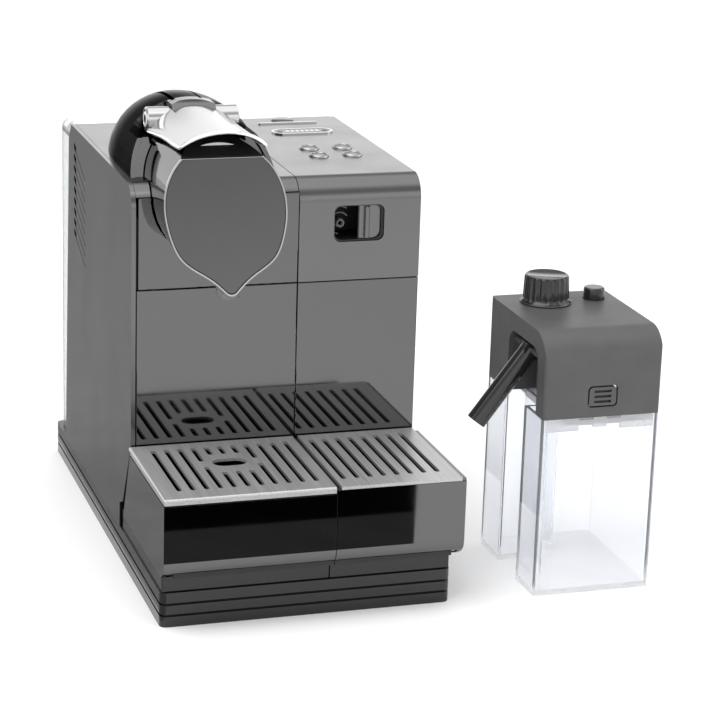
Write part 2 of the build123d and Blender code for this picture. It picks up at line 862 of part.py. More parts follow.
riser_y = block_place[1] + 20
head_y = block_place[1] - 20
hose_bend = 9.0
feed_hose = hose(
    [
        (pump_x, pump_length + 12, pump_z),
        (pump_x, pump_length + 26, pump_z),
        (pump_x, pump_length + 26, block_place[2] + 44),
        (block_place[0], riser_y, block_place[2] + 44),
        (block_place[0], riser_y, block_place[2] + block_size[2] / 2 + 8),
    ],
    hose_bend,
)
brew_hose = hose(
    [
        (block_place[0], head_y, block_place[2] + block_size[2] / 2 + 8),
        (block_place[0], head_y, shelf_z + 26),
        (block_place[0] - 30, head_y, shelf_z + 26),
        (block_place[0] - 30, head_y, shelf_z + 8),
    ],
    hose_bend / 1.5,
)

# ---------------------------------------------------------------- screws
screw_head = 3.5
screw_length = 9.0
screw_shank = 1.6
with BuildPart() as housing_screws:
    for x in (-half + 16, half - 16):
        for z in (base_height + 12, rear_shoulder_z - 14):
            y = rear_at(z) - skin - screw_length
            rod((x, y, z), screw_length - 0.6, screw_shank, "y")
            rod((x, y - 2, z), 2, screw_head, "y")

# ---------------------------------------------------------------- water tank
tank_half = half - tank_side_inset
tank_base = base_height + 0.4
tank_top = tank_base + tank_height
tank_front_gap = 1.2
valve_y = (rear_foot_y + tank_front_gap + back_y) / 2


def tank_sketch(inset, low, high):
    """The tank's outline in the YZ plane, its front parallel to the back of the body."""
    with BuildLine() as outline:
        Polyline(
            (rear_at(low) + tank_front_gap + inset, low),
            (back_y - inset, low),
            (back_y - inset, high),
            (rear_at(high) + tank_front_gap + inset, high),
            close=True,
        )
    return outline.line


with BuildPart() as water_tank:
    with BuildSketch(Plane.YZ.offset(-tank_half)):
        add(tank_sketch(0, tank_base, tank_top))
        make_face()
    extrude(amount=2 * tank_half)
    fillet(water_tank.edges().filter_by(Axis.Z).group_by(Axis.Y)[-1], tank_corner)
    with BuildSketch(Plane.YZ.offset(-tank_half + tank_wall)):
        add(tank_sketch(tank_wall, tank_base + tank_floor, tank_top))
        make_face()
    extrude(amount=2 * (tank_half - tank_wall), mode=Mode.SUBTRACT)
    rod((0, valve_y, tank_base), tank_floor, valve_radius, "z", Mode.SUBTRACT)

with BuildPart() as tank_valve:
    rod((0, valve_y, tank_base), tank_floor + 6, valve_radius, "z")
    rod((0, valve_y, tank_base), tank_floor + 3, valve_radius / 2, "z", Mode.SUBTRACT)

with BuildPart() as tank_lid:
    with BuildSketch(Plane.YZ.offset(-tank_half)):
        add(tank_sketch(0, tank_top + 0.2, tank_top + lid_height))
        make_face()
    extrude(amount=2 * tank_half)
    fillet(tank_lid.edges().filter_by(Axis.Z).group_by(Axis.Y)[-1], tank_corner)
    fillet(tank_lid.faces().sort_by(Axis.Z)[-1].edges().group_by(Axis.Y)[-1], lid_round)

# ---------------------------------------------------------------- drip trays


def tub(x0, x1):
    """Open tray, its hollow drawn in by a wall."""
    block(x0, x1, front_y + tray_front_thickness, tray_back, tray_bottom, tub_top)
    block(
        x0 + tray_wall, x1 - tray_wall,
        front_y + tray_front_thickness + tray_wall, tray_back - tray_wall,
        tray_bottom + tray_wall, tub_top, mode=Mode.SUBTRACT,
    )


tub_outer = liner_inner - 2 * slide_gap
with BuildPart() as drip_tray_left:
    tub(-tub_outer, tray_seam_left)

with BuildPart() as drip_tray_right:
    tub(tray_seam_right, tub_outer)


front_low = tray_bottom - 1.0
front_turn = front_low + tray_curve
front_foot = front_y + tray_tuck


def front_section(top):
    """Tray front in the YZ plane: upright, then curved back under the tray."""
    low, turn_z, back = front_low, front_turn, front_foot
    with BuildLine() as outline:
        Line((front_y, top), (front_y, turn_z))
        Spline((front_y, turn_z), (back, low), tangents=[(0, -1), (0.8, -0.45)])
        Line((back, low), (back + 1.0, low + tray_front_thickness - 0.6))
        Spline(
            (back + 1.0, low + tray_front_thickness - 0.6),
            (front_y + tray_front_thickness, turn_z),
            tangents=[(-0.8, 0.45), (0, 1)],
        )
        Polyline(
            (front_y + tray_front_thickness, turn_z),
            (front_y + tray_front_thickness, top),
            (front_y, top),
        )
    return outline.line


def cheek_section(top):
    """Side of a tray in the YZ plane, its back edge parallel to the side panel's slope."""
    low, turn_z, back = tray_bottom, front_turn, front_foot
    with BuildLine() as outline:
        Line((front_y + 0.6, top), (front_y + 0.6, turn_z))
        Spline((front_y + 0.6, turn_z), (back + 0.6, low), tangents=[(0, -1), (0.8, -0.45)])
        Polyline(
            (back + 0.6, low),
            (panel_front_low - 8.5, low),
            (fascia_y - 5.5, fascia_foot),
            (fascia_y - 5.5, top),
            (front_y + 0.6, top),
        )
    return outline.line


cheek_thickness = 2.2


def tray_front(x0, x1, cheek_x0, front_top, cheek_top):
    """Tray front with a cheek at its outer end."""
    is_left = cheek_x0 < seam_x
    with BuildPart() as piece:
        with BuildSketch(Plane.YZ.offset(x0)):
            add(front_section(front_top))
            make_face()
        extrude(amount=x1 - x0)
        with BuildSketch(Plane.YZ.offset(cheek_x0)):
            add(cheek_section(cheek_top))
            make_face()
        extrude(amount=cheek_thickness)
        # keep clear of the tub's own front corner
        block(
            x0 + cheek_thickness if is_left else x0,
            x1 if is_left else x1 - cheek_thickness,
            front_y + tray_front_thickness, front_y + 40,
            tray_bottom, tray_top, mode=Mode.SUBTRACT,
        )
    return piece


rim_seam = 0.2  # below a rim that lies on a tray's edge
tray_front_left = tray_front(
    -tray_half, tray_seam_left, -tray_half,
    tray_top - left_rim - rim_seam, tray_top - left_rim - rim_seam,
)
tray_front_right = tray_front(
    tray_seam_right, tray_half, tray_half - cheek_thickness,
    tray_top - right_rim - rim_seam, tray_top - 0.6,
)

grid_front = front_y + tray_front_thickness - 0.2
grid_back = fascia_y - grid_back_gap
rim_round = 1.2


def grid_plate(x0, x1, rim):
    """Flat of a cup grid with a rim along its front, which lies on the tray front's edge."""
    block(x0, x1, grid_front, grid_back, grid_bottom, grid_top)
    block(x0, x1, front_y, grid_front, grid_top - rim, grid_top)


def slot_row(x, spans):
    """Drain slots in one row along Y, each with round ends."""
    for low, high in spans:
        with Locations((x, (low + high) / 2)):
            SlotOverall(high - low, slot_width, rotation=90)


with BuildPart() as cup_grid_left:
    grid_plate(-tray_half, left_seam - slide_gap - 1, left_rim)
    # rim along the left side, on the cheek's edge
    block(
        -tray_half, -tray_half + cheek_thickness, grid_front, fascia_y - 5.5,
        grid_top - left_rim, grid_bottom,
    )
    fillet(cup_grid_left.edges().filter_by(Axis.X).group_by(Axis.Y)[0], rim_round)
    fillet(
        cup_grid_left.edges().filter_by(Axis.Y).group_by(Axis.X)[0].sort_by(Axis.Z)[-1],
        rim_round,
    )
    with BuildSketch(Plane.XY.offset(grid_bottom)):
        for i in range(left_slots[0]):
            x = left_slots[1] + i * left_slots[2]
            reach = abs(x - drain_x)
            low, high = slot_span
            if reach < drain_size[0] / 2 + 1:
                room = drain_size[1] / 2 + 9
            elif reach < drain_size[0] / 2 + slot_width + 4:
                room = 5.0
            else:
                room = 0
            if room:
                slot_row(x, ((low, drain_y - room), (drain_y + room - 1, high)))
            else:
                slot_row(x, ((low, high),))
        with Locations((drain_x, drain_y)):
            SlotOverall(*drain_size)
    extrude(amount=grid_thickness, mode=Mode.SUBTRACT)

with BuildPart() as cup_grid_right:
    grid_plate(right_seam + slide_gap + 1, tray_half - cheek_thickness - slide_gap, right_rim)
    with BuildSketch(Plane.XY.offset(grid_bottom)):
        for i in range(right_slots[0]):
            slot_row(right_slots[1] + i * right_slots[2], (slot_span,))
    extrude(amount=grid_thickness, mode=Mode.SUBTRACT)

# ---------------------------------------------------------------- capsule drawer
with BuildPart() as fascia_lower_left:
    block(-cover_half + 0.4, left_seam, fascia_y, fascia_back, fascia_foot, seam_z - seam / 2)

with BuildPart() as capsule_bin:
    bin_x0, bin_x1 = -tub_outer, seam_x - 3
    block(bin_x0, bin_x1, fascia_back, bin_back, tub_top + seam, bin_top)
    block(
        bin_x0 + tray_wall, bin_x1 - tray_wall,
        fascia_back + tray_wall, bin_back - tray_wall,
        tub_top + seam + tray_wall, bin_top, mode=Mode.SUBTRACT,
    )

# ---------------------------------------------------------------- milk jug
jug_mid = (jug_front + jug_back) / 2
jug_depth = jug_back - jug_front
with BuildPart() as jug_container:
    with BuildSketch():
        with Locations((jug_x, jug_mid)):
            RectangleRounded(jug_width, jug_depth, jug_corner)
        with Locations((jug_left + channel_depth / 2, sum(channel_y) / 2)):
            Rectangle(channel_depth, channel_y[1] - channel_y[0], mode=Mode.SUBTRACT)
    extrude(amount=jug_seam_z)
    with BuildSketch(Plane.XY.offset(jug_floor)):
        with Locations((jug_x, jug_mid)):
            RectangleRounded(jug_width - 2 * jug_wall, jug_depth - 2 * jug_wall, 1.0)
        with Locations((jug_left + (channel_depth + jug_wall) / 2, sum(channel_y) / 2)):
            Rectangle(
                channel_depth + jug_wall,
                channel_y[1] - channel_y[0] + 2 * jug_wall,
                mode=Mode.SUBTRACT,
            )
    extrude(amount=jug_seam_z - jug_floor, mode=Mode.SUBTRACT)

head_low = jug_seam_z + 0.3
with BuildPart() as jug_head:
    block(jug_left, jug_right, jug_front, jug_back, head_low, jug_top_z)
    fillet(
        jug_head.edges().filter_by(Axis.X).group_by(Axis.Z)[-1].sort_by(Axis.Y)[0],
        jug_round,
    )
    with BuildSketch(Plane.XY.offset(head_low)):
        with Locations((jug_x, jug_mid)):
            RectangleRounded(jug_width, jug_depth, jug_corner)
    extrude(amount=jug_top_z - head_low, mode=Mode.INTERSECT)
    block(
        jug_left + head_skin, jug_right - head_skin,
        jug_front + head_skin, jug_back - head_skin,
        head_low, jug_top_z - jug_round - 4, mode=Mode.SUBTRACT,
    )
    block(
        jug_left + head_skin, jug_right - head_skin,
        jug_front + jug_round, jug_back - head_skin,
        head_low, jug_top_z - head_skin, mode=Mode.SUBTRACT,
    )
    # pocket for the milk spout, open to the left and below
    block(
        jug_left, jug_left + recess_depth + head_skin,
        recess_y[0] - head_skin, recess_y[1] + head_skin,
        head_low, recess_top + head_skin,
    )
    with BuildSketch(Plane.YZ.offset(jug_left)):
        with Locations((sum(recess_y) / 2, head_low)):
            RectangleRounded(recess_y[1] - recess_y[0], 2 * (recess_top - head_low), recess_round)
    extrude(amount=recess_depth, mode=Mode.SUBTRACT)
    # holes for the knob, the cleaning button, the release button and the steam connector
    rod((knob_x, knob_y, jug_top_z - head_skin), head_skin, 4.0 + running_gap, "z", Mode.SUBTRACT)
    rod(
        (clean_x, clean_y, jug_top_z - head_skin), head_skin,
        clean_radius + button_gap, "z", Mode.SUBTRACT,
    )
    with BuildSketch(Plane.XZ.offset(-jug_front)):
        with Locations((jug_x, release_z)):
            RectangleRounded(
                release_size[0] + 2 * release_gap, release_size[1] + 2 * release_gap, 2.5
            )
    extrude(amount=-head_skin, mode=Mode.SUBTRACT)
    connector_x = jug_x - ((seam_x + half) / 2 - nozzle_x)
    rod(
        (connector_x, jug_back - head_skin, connector_z), head_skin,
        connector_radius, "y", Mode.SUBTRACT,
    )
    # axle that the milk spout swings on
    pivot_x = jug_left + 5.0
    rod((pivot_x, recess_y[0] - head_skin, spout_z), head_skin + 1, spout_axle + 1.5, "y")
    rod((pivot_x, recess_y[0], spout_z), recess_y[1] - recess_y[0], spout_axle, "y")

insert_gap = 0.5
with BuildPart() as jug_insert:
    insert_x0 = jug_left + channel_depth + jug_wall + insert_gap
    insert_x1 = jug_right - jug_wall - insert_gap
    insert_y0 = jug_front + jug_wall + insert_gap
    insert_y1 = jug_back - jug_wall - insert_gap
    block(insert_x0, insert_x1, insert_y0, insert_y1, jug_seam_z - 5, jug_seam_z - 2)
    tab_width = 20.0
    for x in (jug_left + jug_wall + insert_gap, insert_x1 - tab_width):
        block(x, x + tab_width, insert_y0, insert_y0 + 2, jug_seam_z - 8, jug_seam_z)
    block(jug_x - 4, jug_x + 4, insert_y0, insert_y0 + 2, jug_seam_z - 6.5, jug_seam_z)
    # post that ties the insert to the head's inside
    post_x = jug_left + recess_depth + head_skin + 4
    block(post_x, post_x + 6, knob_y - 24, knob_y - 18, jug_seam_z - 2, jug_top_z - head_skin)
    suction_x = jug_x - 4
    suction_y = jug_mid + 18
    rod((suction_x, suction_y, jug_seam_z - 5), 3, suction_radius, "z", Mode.SUBTRACT)

with BuildPart() as suction_tube:
    rod((suction_x, suction_y, jug_floor + 4), jug_seam_z + 8 - jug_floor - 4, suction_radius, "z")
    rod(
        (suction_x, suction_y, jug_floor + 4), jug_seam_z + 8 - jug_floor - 4,
        suction_radius - 1.2, "z", Mode.SUBTRACT,
    )

with BuildPart() as steam_connector:
    rod(
        (connector_x, jug_back - head_skin - 4, connector_z),
        head_skin + 4 + connector_length, connector_radius, "y",
    )
    rod(
        (connector_x, jug_back - head_skin - 4, connector_z),
        head_skin + 4 + connector_length, nozzle_radius + 0.3, "y", Mode.SUBTRACT,
    )

knob_lift = 0.3
with BuildPart() as froth_knob:
    base_z = jug_top_z + knob_lift
    rod((knob_x, knob_y, base_z), 2.2, knob_radius + 1.2, "z")
    rod((knob_x, knob_y, base_z), knob_height, knob_radius - 0.6, "z")
    with BuildSketch(Plane.XY.offset(base_z)):
        with Locations((knob_x, knob_y)):
            with PolarLocations(knob_radius - 0.9, knob_flutes):
                Circle(1.1)
    extrude(amount=knob_height - 1.5)
    rod((knob_x, knob_y, jug_top_z - head_skin - 2), head_skin + 2 + knob_lift, 4.0, "z")

with BuildPart() as clean_button:
    rod((clean_x, clean_y, jug_top_z - head_skin), head_skin + clean_height, clean_radius, "z")

release_depth = 6.0
with BuildPart() as release_button:
    with BuildSketch(Plane.XZ.offset(-jug_front)):
        with Locations((jug_x, release_z)):
            RectangleRounded(*release_size, 2.0)
    extrude(amount=-release_depth)
    for dz in (-3.0, 0, 3.0):
        block(
            jug_x - release_size[0] / 2 + 3, jug_x + release_size[0] / 2 - 3,
            jug_front, jug_front + 2.0, release_z + dz - 0.75, release_z + dz + 0.75,
            mode=Mode.SUBTRACT,
        )

lean = radians(spout_lean)
spout_plane = Plane(
    (pivot_x, spout_y, spout_z), x_dir=(0, 1, 0), z_dir=(-sin(lean), 0, -cos(lean))
)
with BuildPart() as milk_spout:
    with BuildSketch(spout_plane):
        Circle(spout_radius)
    extrude(amount=spout_length)
    with BuildSketch(spout_plane.offset(spout_radius + 2)):
        Circle(spout_bore)
    extrude(amount=spout_length, mode=Mode.SUBTRACT)
    hub_half = (channel_y[1] - channel_y[0]) / 2 - 10
    rod((pivot_x, spout_y - hub_half, spout_z), 2 * hub_half, spout_radius - 0.2, "y")
    rod(
        (pivot_x, spout_y - spout_length, spout_z), 2 * spout_length,
        spout_axle + running_gap, "y", Mode.SUBTRACT,
    )

# ---------------------------------------------------------------- export
pieces = {
    "base_pan": base_pan,
    "rubber_feet": rubber_feet,
    "cable_gland": cable_gland,
    "tray_bed_left": tray_bed_left,
    "tray_bed_right": tray_bed_right,
    "left_side_panel": left_side_panel,
    "right_side_panel": right_side_panel,
    "left_liner": left_liner,
    "right_liner": right_liner,
    "top_cover_left": top_cover_left,
    "control_cover": control_cover,
    "fascia_upper_left": fascia_upper_left,
    "fascia_lower_right": fascia_lower_right,
    "rear_cover": rear_cover,
    "centre_wall": centre_wall,
    "brew_shelf": brew_shelf,
    "head_tube": head_tube,
    "face_bezel": face_bezel,
    "face_plate": face_plate,
    "coffee_spout": coffee_spout,
    "extraction_plate": extraction_plate,
    "brew_piston": brew_piston,
    "dome_cover": dome_cover,
    "lever_bracket": lever_bracket,
    "lever_handle": lever_handle,
    "lever_pin": lever_pin,
    "steam_port_liner": steam_port_liner,
    "steam_nozzle": steam_nozzle,
    "steam_door": steam_door,
    "espresso_button": espresso_button,
    "lungo_button": lungo_button,
    "cappuccino_button": cappuccino_button,
    "latte_button": latte_button,
    "badge_plate": badge_plate,
    "control_board": control_board,
    "water_pump": water_pump,
    "thermoblock": thermoblock,
    "feed_hose": feed_hose,
    "brew_hose": brew_hose,
    "housing_screws": housing_screws,
    "water_tank": water_tank,
    "tank_valve": tank_valve,
    "tank_lid": tank_lid,
    "drip_tray_left": drip_tray_left,
    "drip_tray_right": drip_tray_right,
    "tray_front_left": tray_front_left,
    "tray_front_right": tray_front_right,
    "cup_grid_left": cup_grid_left,
    "cup_grid_right": cup_grid_right,
    "fascia_lower_left": fascia_lower_left,
    "capsule_bin": capsule_bin,
    "jug_container": jug_container,
    "jug_head": jug_head,
    "jug_insert": jug_insert,
    "suction_tube": suction_tube,
    "steam_connector": steam_connector,
    "froth_knob": froth_knob,
    "clean_button": clean_button,
    "release_button": release_button,
    "milk_spout": milk_spout,
}
for name, piece in pieces.items():
    piece.part.label = name
    export_step(piece.part, f"parts/{name}.step")
print(len(pieces), "nodes")
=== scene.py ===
"""Looks of the pod coffee machine and its milk jug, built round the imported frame, in metres."""

from math import cos, pi, radians, sin, sqrt

import bmesh
import bpy
from mathutils import Matrix, Vector


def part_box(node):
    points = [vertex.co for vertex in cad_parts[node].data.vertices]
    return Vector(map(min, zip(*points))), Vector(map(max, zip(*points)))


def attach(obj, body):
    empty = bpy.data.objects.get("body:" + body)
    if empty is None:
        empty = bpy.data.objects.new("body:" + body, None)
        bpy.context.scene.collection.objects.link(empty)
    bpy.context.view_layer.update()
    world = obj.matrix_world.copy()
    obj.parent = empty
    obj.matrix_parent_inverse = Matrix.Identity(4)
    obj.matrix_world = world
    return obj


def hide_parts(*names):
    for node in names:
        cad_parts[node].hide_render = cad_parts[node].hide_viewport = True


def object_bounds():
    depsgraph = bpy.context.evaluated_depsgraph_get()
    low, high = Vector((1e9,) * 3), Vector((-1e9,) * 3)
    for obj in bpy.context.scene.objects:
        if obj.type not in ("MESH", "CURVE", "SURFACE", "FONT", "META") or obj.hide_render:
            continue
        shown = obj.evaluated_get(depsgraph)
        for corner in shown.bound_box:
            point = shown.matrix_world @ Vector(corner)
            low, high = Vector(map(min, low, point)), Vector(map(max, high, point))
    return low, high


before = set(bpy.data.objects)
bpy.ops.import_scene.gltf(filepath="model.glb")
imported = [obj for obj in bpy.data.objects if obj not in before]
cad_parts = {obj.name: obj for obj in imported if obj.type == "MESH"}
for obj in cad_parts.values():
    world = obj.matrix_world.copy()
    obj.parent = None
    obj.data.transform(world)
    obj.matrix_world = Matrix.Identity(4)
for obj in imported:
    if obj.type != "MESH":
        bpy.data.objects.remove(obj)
cad_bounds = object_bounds()

MM = 0.001


# ---------------------------------------------------------------- camera, floor and light
def add_camera():
    """A long lens from the front left, a little above the machine."""
    azimuth, elevation, roll = radians(-17.753), radians(16.749), radians(1.795)
    back = Vector((sin(azimuth) * cos(elevation), -cos(azimuth) * cos(elevation), sin(elevation)))
    level = (-back).cross(Vector((0, 0, 1))).normalized()
    rise = level.cross(-back)
    right = level * cos(roll) + rise * sin(roll)
    up = rise * cos(roll) - level * sin(roll)
    data = bpy.data.cameras.new("camera")
    data.sensor_width = 36.0
    data.lens = 123.54
    data.clip_end = 50.0
    camera = bpy.data.objects.new("camera", data)
    turn = Matrix((right, up, back)).transposed().to_4x4()
    camera.matrix_world = Matrix.Translation((-0.3621, -1.3489, 0.5296)) @ turn
    bpy.context.scene.collection.objects.link(camera)
    bpy.context.scene.camera = camera


def add_softbox(name, place, aim, size, power):
    data = bpy.data.lights.new(name, "AREA")
    data.shape = "RECTANGLE"
    data.size, data.size_y = size
    data.energy = power
    light = bpy.data.objects.new(name, data)
    light.location = place
    light.rotation_euler = (Vector(aim) - Vector(place)).to_track_quat("-Z", "Y").to_euler()
    bpy.context.scene.collection.objects.link(light)
    return light


def add_world():
    """Pale studio walls, dimmer between the horizon and the ceiling."""
    world = bpy.data.worlds.new("studio")
    world.use_nodes = True
    bpy.context.scene.world = world
    tree = world.node_tree
    coords = tree.nodes.new("ShaderNodeTexCoord")
    split = tree.nodes.new("ShaderNodeSeparateXYZ")
    ramp = tree.nodes.new("ShaderNodeValToRGB")
    tree.links.new(coords.outputs["Generated"], split.inputs[0])
    tree.links.new(split.outputs["Z"], ramp.inputs["Fac"])
    stops = ((0.0, 0.95), (0.28, 0.95), (0.45, 0.36), (0.68, 0.4), (0.85, 1.0))
    elements = ramp.color_ramp.elements
    while len(elements) < len(stops):
        elements.new(0.5)
    for element, (place, tone) in zip(elements, stops):
        element.position = place
        element.color = (tone, tone, tone, 1)
    tree.links.new(ramp.outputs["Color"], tree.nodes["Background"].inputs["Color"])
    tree.nodes["Background"].inputs["Strength"].default_value = 1.6


def new_mesh(name, vertices, faces):
    mesh = bpy.data.meshes.new(name)
    mesh.from_pydata([tuple(v) for v in vertices], [], faces)
    mesh.update()
    piece = bpy.data.objects.new(name, mesh)
    bpy.context.scene.collection.objects.link(piece)
    return piece


def add_floor(finish):
    reach = 9.0
    corners = [(-reach, -reach, 0), (reach, -reach, 0), (reach, reach, 0), (-reach, reach, 0)]
    floor = new_mesh("floor", corners, [(0, 1, 2, 3)])
    floor.data.materials.append(finish)


def add_card(name, finish, corners, z=0.001):
    """A card on the table, seen only in the glossy sides of the machine."""
    card = new_mesh(name, [(x, y, z) for x, y in corners], [(0, 1, 2, 3)])
    card.data.materials.append(finish)
    card.visible_camera = False
    card.visible_diffuse = False
    card.visible_shadow = False
    card.visible_transmission = False


# ---------------------------------------------------------------- node helpers
def new_material(name, tone, metallic=0.0):
    """A material with a Principled shader, its tree and the shader."""
    material = bpy.data.materials.new(name)
    material.use_nodes = True
    shader = material.node_tree.nodes["Principled BSDF"]
    shader.inputs["Base Color"].default_value = (*tone, 1)
    shader.inputs["Metallic"].default_value = metallic
    material.diffuse_color = (*tone, 1)
    return material, material.node_tree, shader


def noise(tree, scale, detail=2.0, stretch=(1, 1, 1)):
    """Noise in object space; scale is in waves per metre."""
    coords = tree.nodes.new("ShaderNodeTexCoord")
    mapping = tree.nodes.new("ShaderNodeMapping")
    mapping.inputs["Scale"].default_value = stretch
    texture = tree.nodes.new("ShaderNodeTexNoise")
    texture.inputs["Scale"].default_value = scale
    texture.inputs["Detail"].default_value = detail
    tree.links.new(coords.outputs["Object"], mapping.inputs["Vector"])
    tree.links.new(mapping.outputs["Vector"], texture.inputs["Vector"])
    return texture.outputs["Fac"]


def vary_roughness(tree, shader, source, low, high):
    remap = tree.nodes.new("ShaderNodeMapRange")
    remap.inputs["From Min"].default_value = 0.3
    remap.inputs["From Max"].default_value = 0.7
    remap.inputs["To Min"].default_value = low
    remap.inputs["To Max"].default_value = high
    tree.links.new(source, remap.inputs["Value"])
    tree.links.new(remap.outputs["Result"], shader.inputs["Roughness"])


def vary_colour(tree, shader, source, dark, light):
    ramp = tree.nodes.new("ShaderNodeValToRGB")
    for element, place, tone in zip(ramp.color_ramp.elements, (0.3, 0.7), (dark, light)):
        element.position = place
        element.color = (*tone, 1)
    tree.links.new(source, ramp.inputs["Fac"])
    tree.links.new(ramp.outputs["Color"], shader.inputs["Base Color"])


def add_bump(tree, shader, source, height, strength=1.0):
    bump = tree.nodes.new("ShaderNodeBump")
    bump.inputs["Distance"].default_value = height
    bump.inputs["Strength"].default_value = strength
    tree.links.new(source, bump.inputs["Height"])
    tree.links.new(bump.outputs["Normal"], shader.inputs["Normal"])


def grey(level, warm=0.0):
    return (level * (1 + warm), level, level * (1 - warm))


# ---------------------------------------------------------------- finishes
def lacquer(name, level, low, high, ripple=0.02, edge=1.0):
    """Metallised lacquer over smooth moulded plastic: a dark mirror with fine flake."""
    material, tree, shader = new_material(name, grey(level), metallic=1.0)
    flake = noise(tree, 5200, detail=1.0)
    vary_colour(tree, shader, flake, grey(level * 0.94), grey(level * 1.06))
    vary_roughness(tree, shader, noise(tree, 26, detail=4.0), low, high)
    add_bump(tree, shader, noise(tree, 55), ripple * MM, 0.25)
    # Specular Tint below white dims reflection at grazing angles; on the dome (edge=0.25) it is painted
    # shade on the rim reflection
    shader.inputs["Specular Tint"].default_value = (*grey(edge), 1)
    return material


def polished_metal(name, level, low, high):
    """Chrome plate with faint polishing haze."""
    material, tree, shader = new_material(name, grey(level), metallic=1.0)
    haze = noise(tree, 40, detail=6.0)
    vary_colour(tree, shader, haze, grey(level * 0.97), grey(min(level * 1.02, 1.0)))
    vary_roughness(tree, shader, haze, low, high)
    add_bump(tree, shader, noise(tree, 90), 0.01 * MM, 0.2)
    return material


def brushed_metal(name, level, stretch, low, high, metallic=1.0):
    """Sheet metal with fine grain along one axis."""
    material, tree, shader = new_material(name, grey(level), metallic=metallic)
    grain = noise(tree, 900, detail=5.0, stretch=stretch)
    vary_colour(tree, shader, grain, grey(level * 0.86), grey(min(level * 1.1, 1.0)))
    vary_roughness(tree, shader, grain, low, high)
    add_bump(tree, shader, grain, 0.02 * MM, 0.35)
    return material


def moulded(name, level, low, high, grain_scale, grain_height, coat=0.0):
    """Moulded plastic with a fine spark-eroded grain."""
    material, tree, shader = new_material(name, grey(level))
    vary_colour(tree, shader, noise(tree, 60, detail=4.0), grey(level * 0.92), grey(level * 1.08))
    vary_roughness(tree, shader, noise(tree, 35, detail=5.0), low, high)
    add_bump(tree, shader, noise(tree, grain_scale, detail=3.0), grain_height * MM, 0.6)
    shader.inputs["Coat Weight"].default_value = coat
    shader.inputs["Coat Roughness"].default_value = 0.04
    return material


def clear_plastic(name, tint, depth_tint, density, low, high):
    """Clear moulded plastic that darkens a little where the light runs along it."""
    material, tree, shader = new_material(name, tint)
    shader.inputs["Transmission Weight"].default_value = 0.94
    shader.inputs["IOR"].default_value = 1.49
    vary_roughness(tree, shader, noise(tree, 30, detail=3.0), low, high)
    add_bump(tree, shader, noise(tree, 28), 0.05 * MM, 0.15)
    absorb = tree.nodes.new("ShaderNodeVolumeAbsorption")
    absorb.inputs["Color"].default_value = (*depth_tint, 1)
    absorb.inputs["Density"].default_value = density
    tree.links.new(absorb.outputs["Volume"], tree.nodes["Material Output"].inputs["Volume"])
    return material


def frosted_plastic(name, level, low, high):
    """Milky plastic that lets some light through."""
    material, tree, shader = new_material(name, grey(level))
    shader.inputs["Transmission Weight"].default_value = 0.55
    shader.inputs["IOR"].default_value = 1.45
    vary_colour(tree, shader, noise(tree, 80, detail=3.0), grey(level * 0.95), grey(level))
    vary_roughness(tree, shader, noise(tree, 120, detail=4.0), low, high)
    add_bump(tree, shader, noise(tree, 900), 0.02 * MM, 0.3)
    return material


def circuit_board(name):
    """Lacquered green board with paler tracks."""
    material, tree, shader = new_material(name, (0.03, 0.12, 0.05))
    tracks = noise(tree, 420, detail=0.0, stretch=(1, 0.08, 1))
    vary_colour(tree, shader, tracks, (0.02, 0.09, 0.04), (0.06, 0.2, 0.09))
    vary_roughness(tree, shader, tracks, 0.2, 0.35)
    add_bump(tree, shader, tracks, 0.03 * MM)
    return material


def matt_card(name, level):
    """Paper-like card with no shine."""
    material, tree, shader = new_material(name, grey(level))
    vary_colour(tree, shader, noise(tree, 30), grey(level * 0.9), grey(level * 1.1))
    shader.inputs["Roughness"].default_value = 1.0
    shader.inputs["Specular IOR Level"].default_value = 0.0
    return material


def floor_paper():
    """Nearly white paper with no shine."""
    material, tree, shader = new_material("floor_paper", grey(0.86))
    vary_colour(tree, shader, noise(tree, 3, detail=2.0), grey(0.855), grey(0.865))
    shader.inputs["Roughness"].default_value = 0.9
    shader.inputs["Specular IOR Level"].default_value = 0.0
    return material


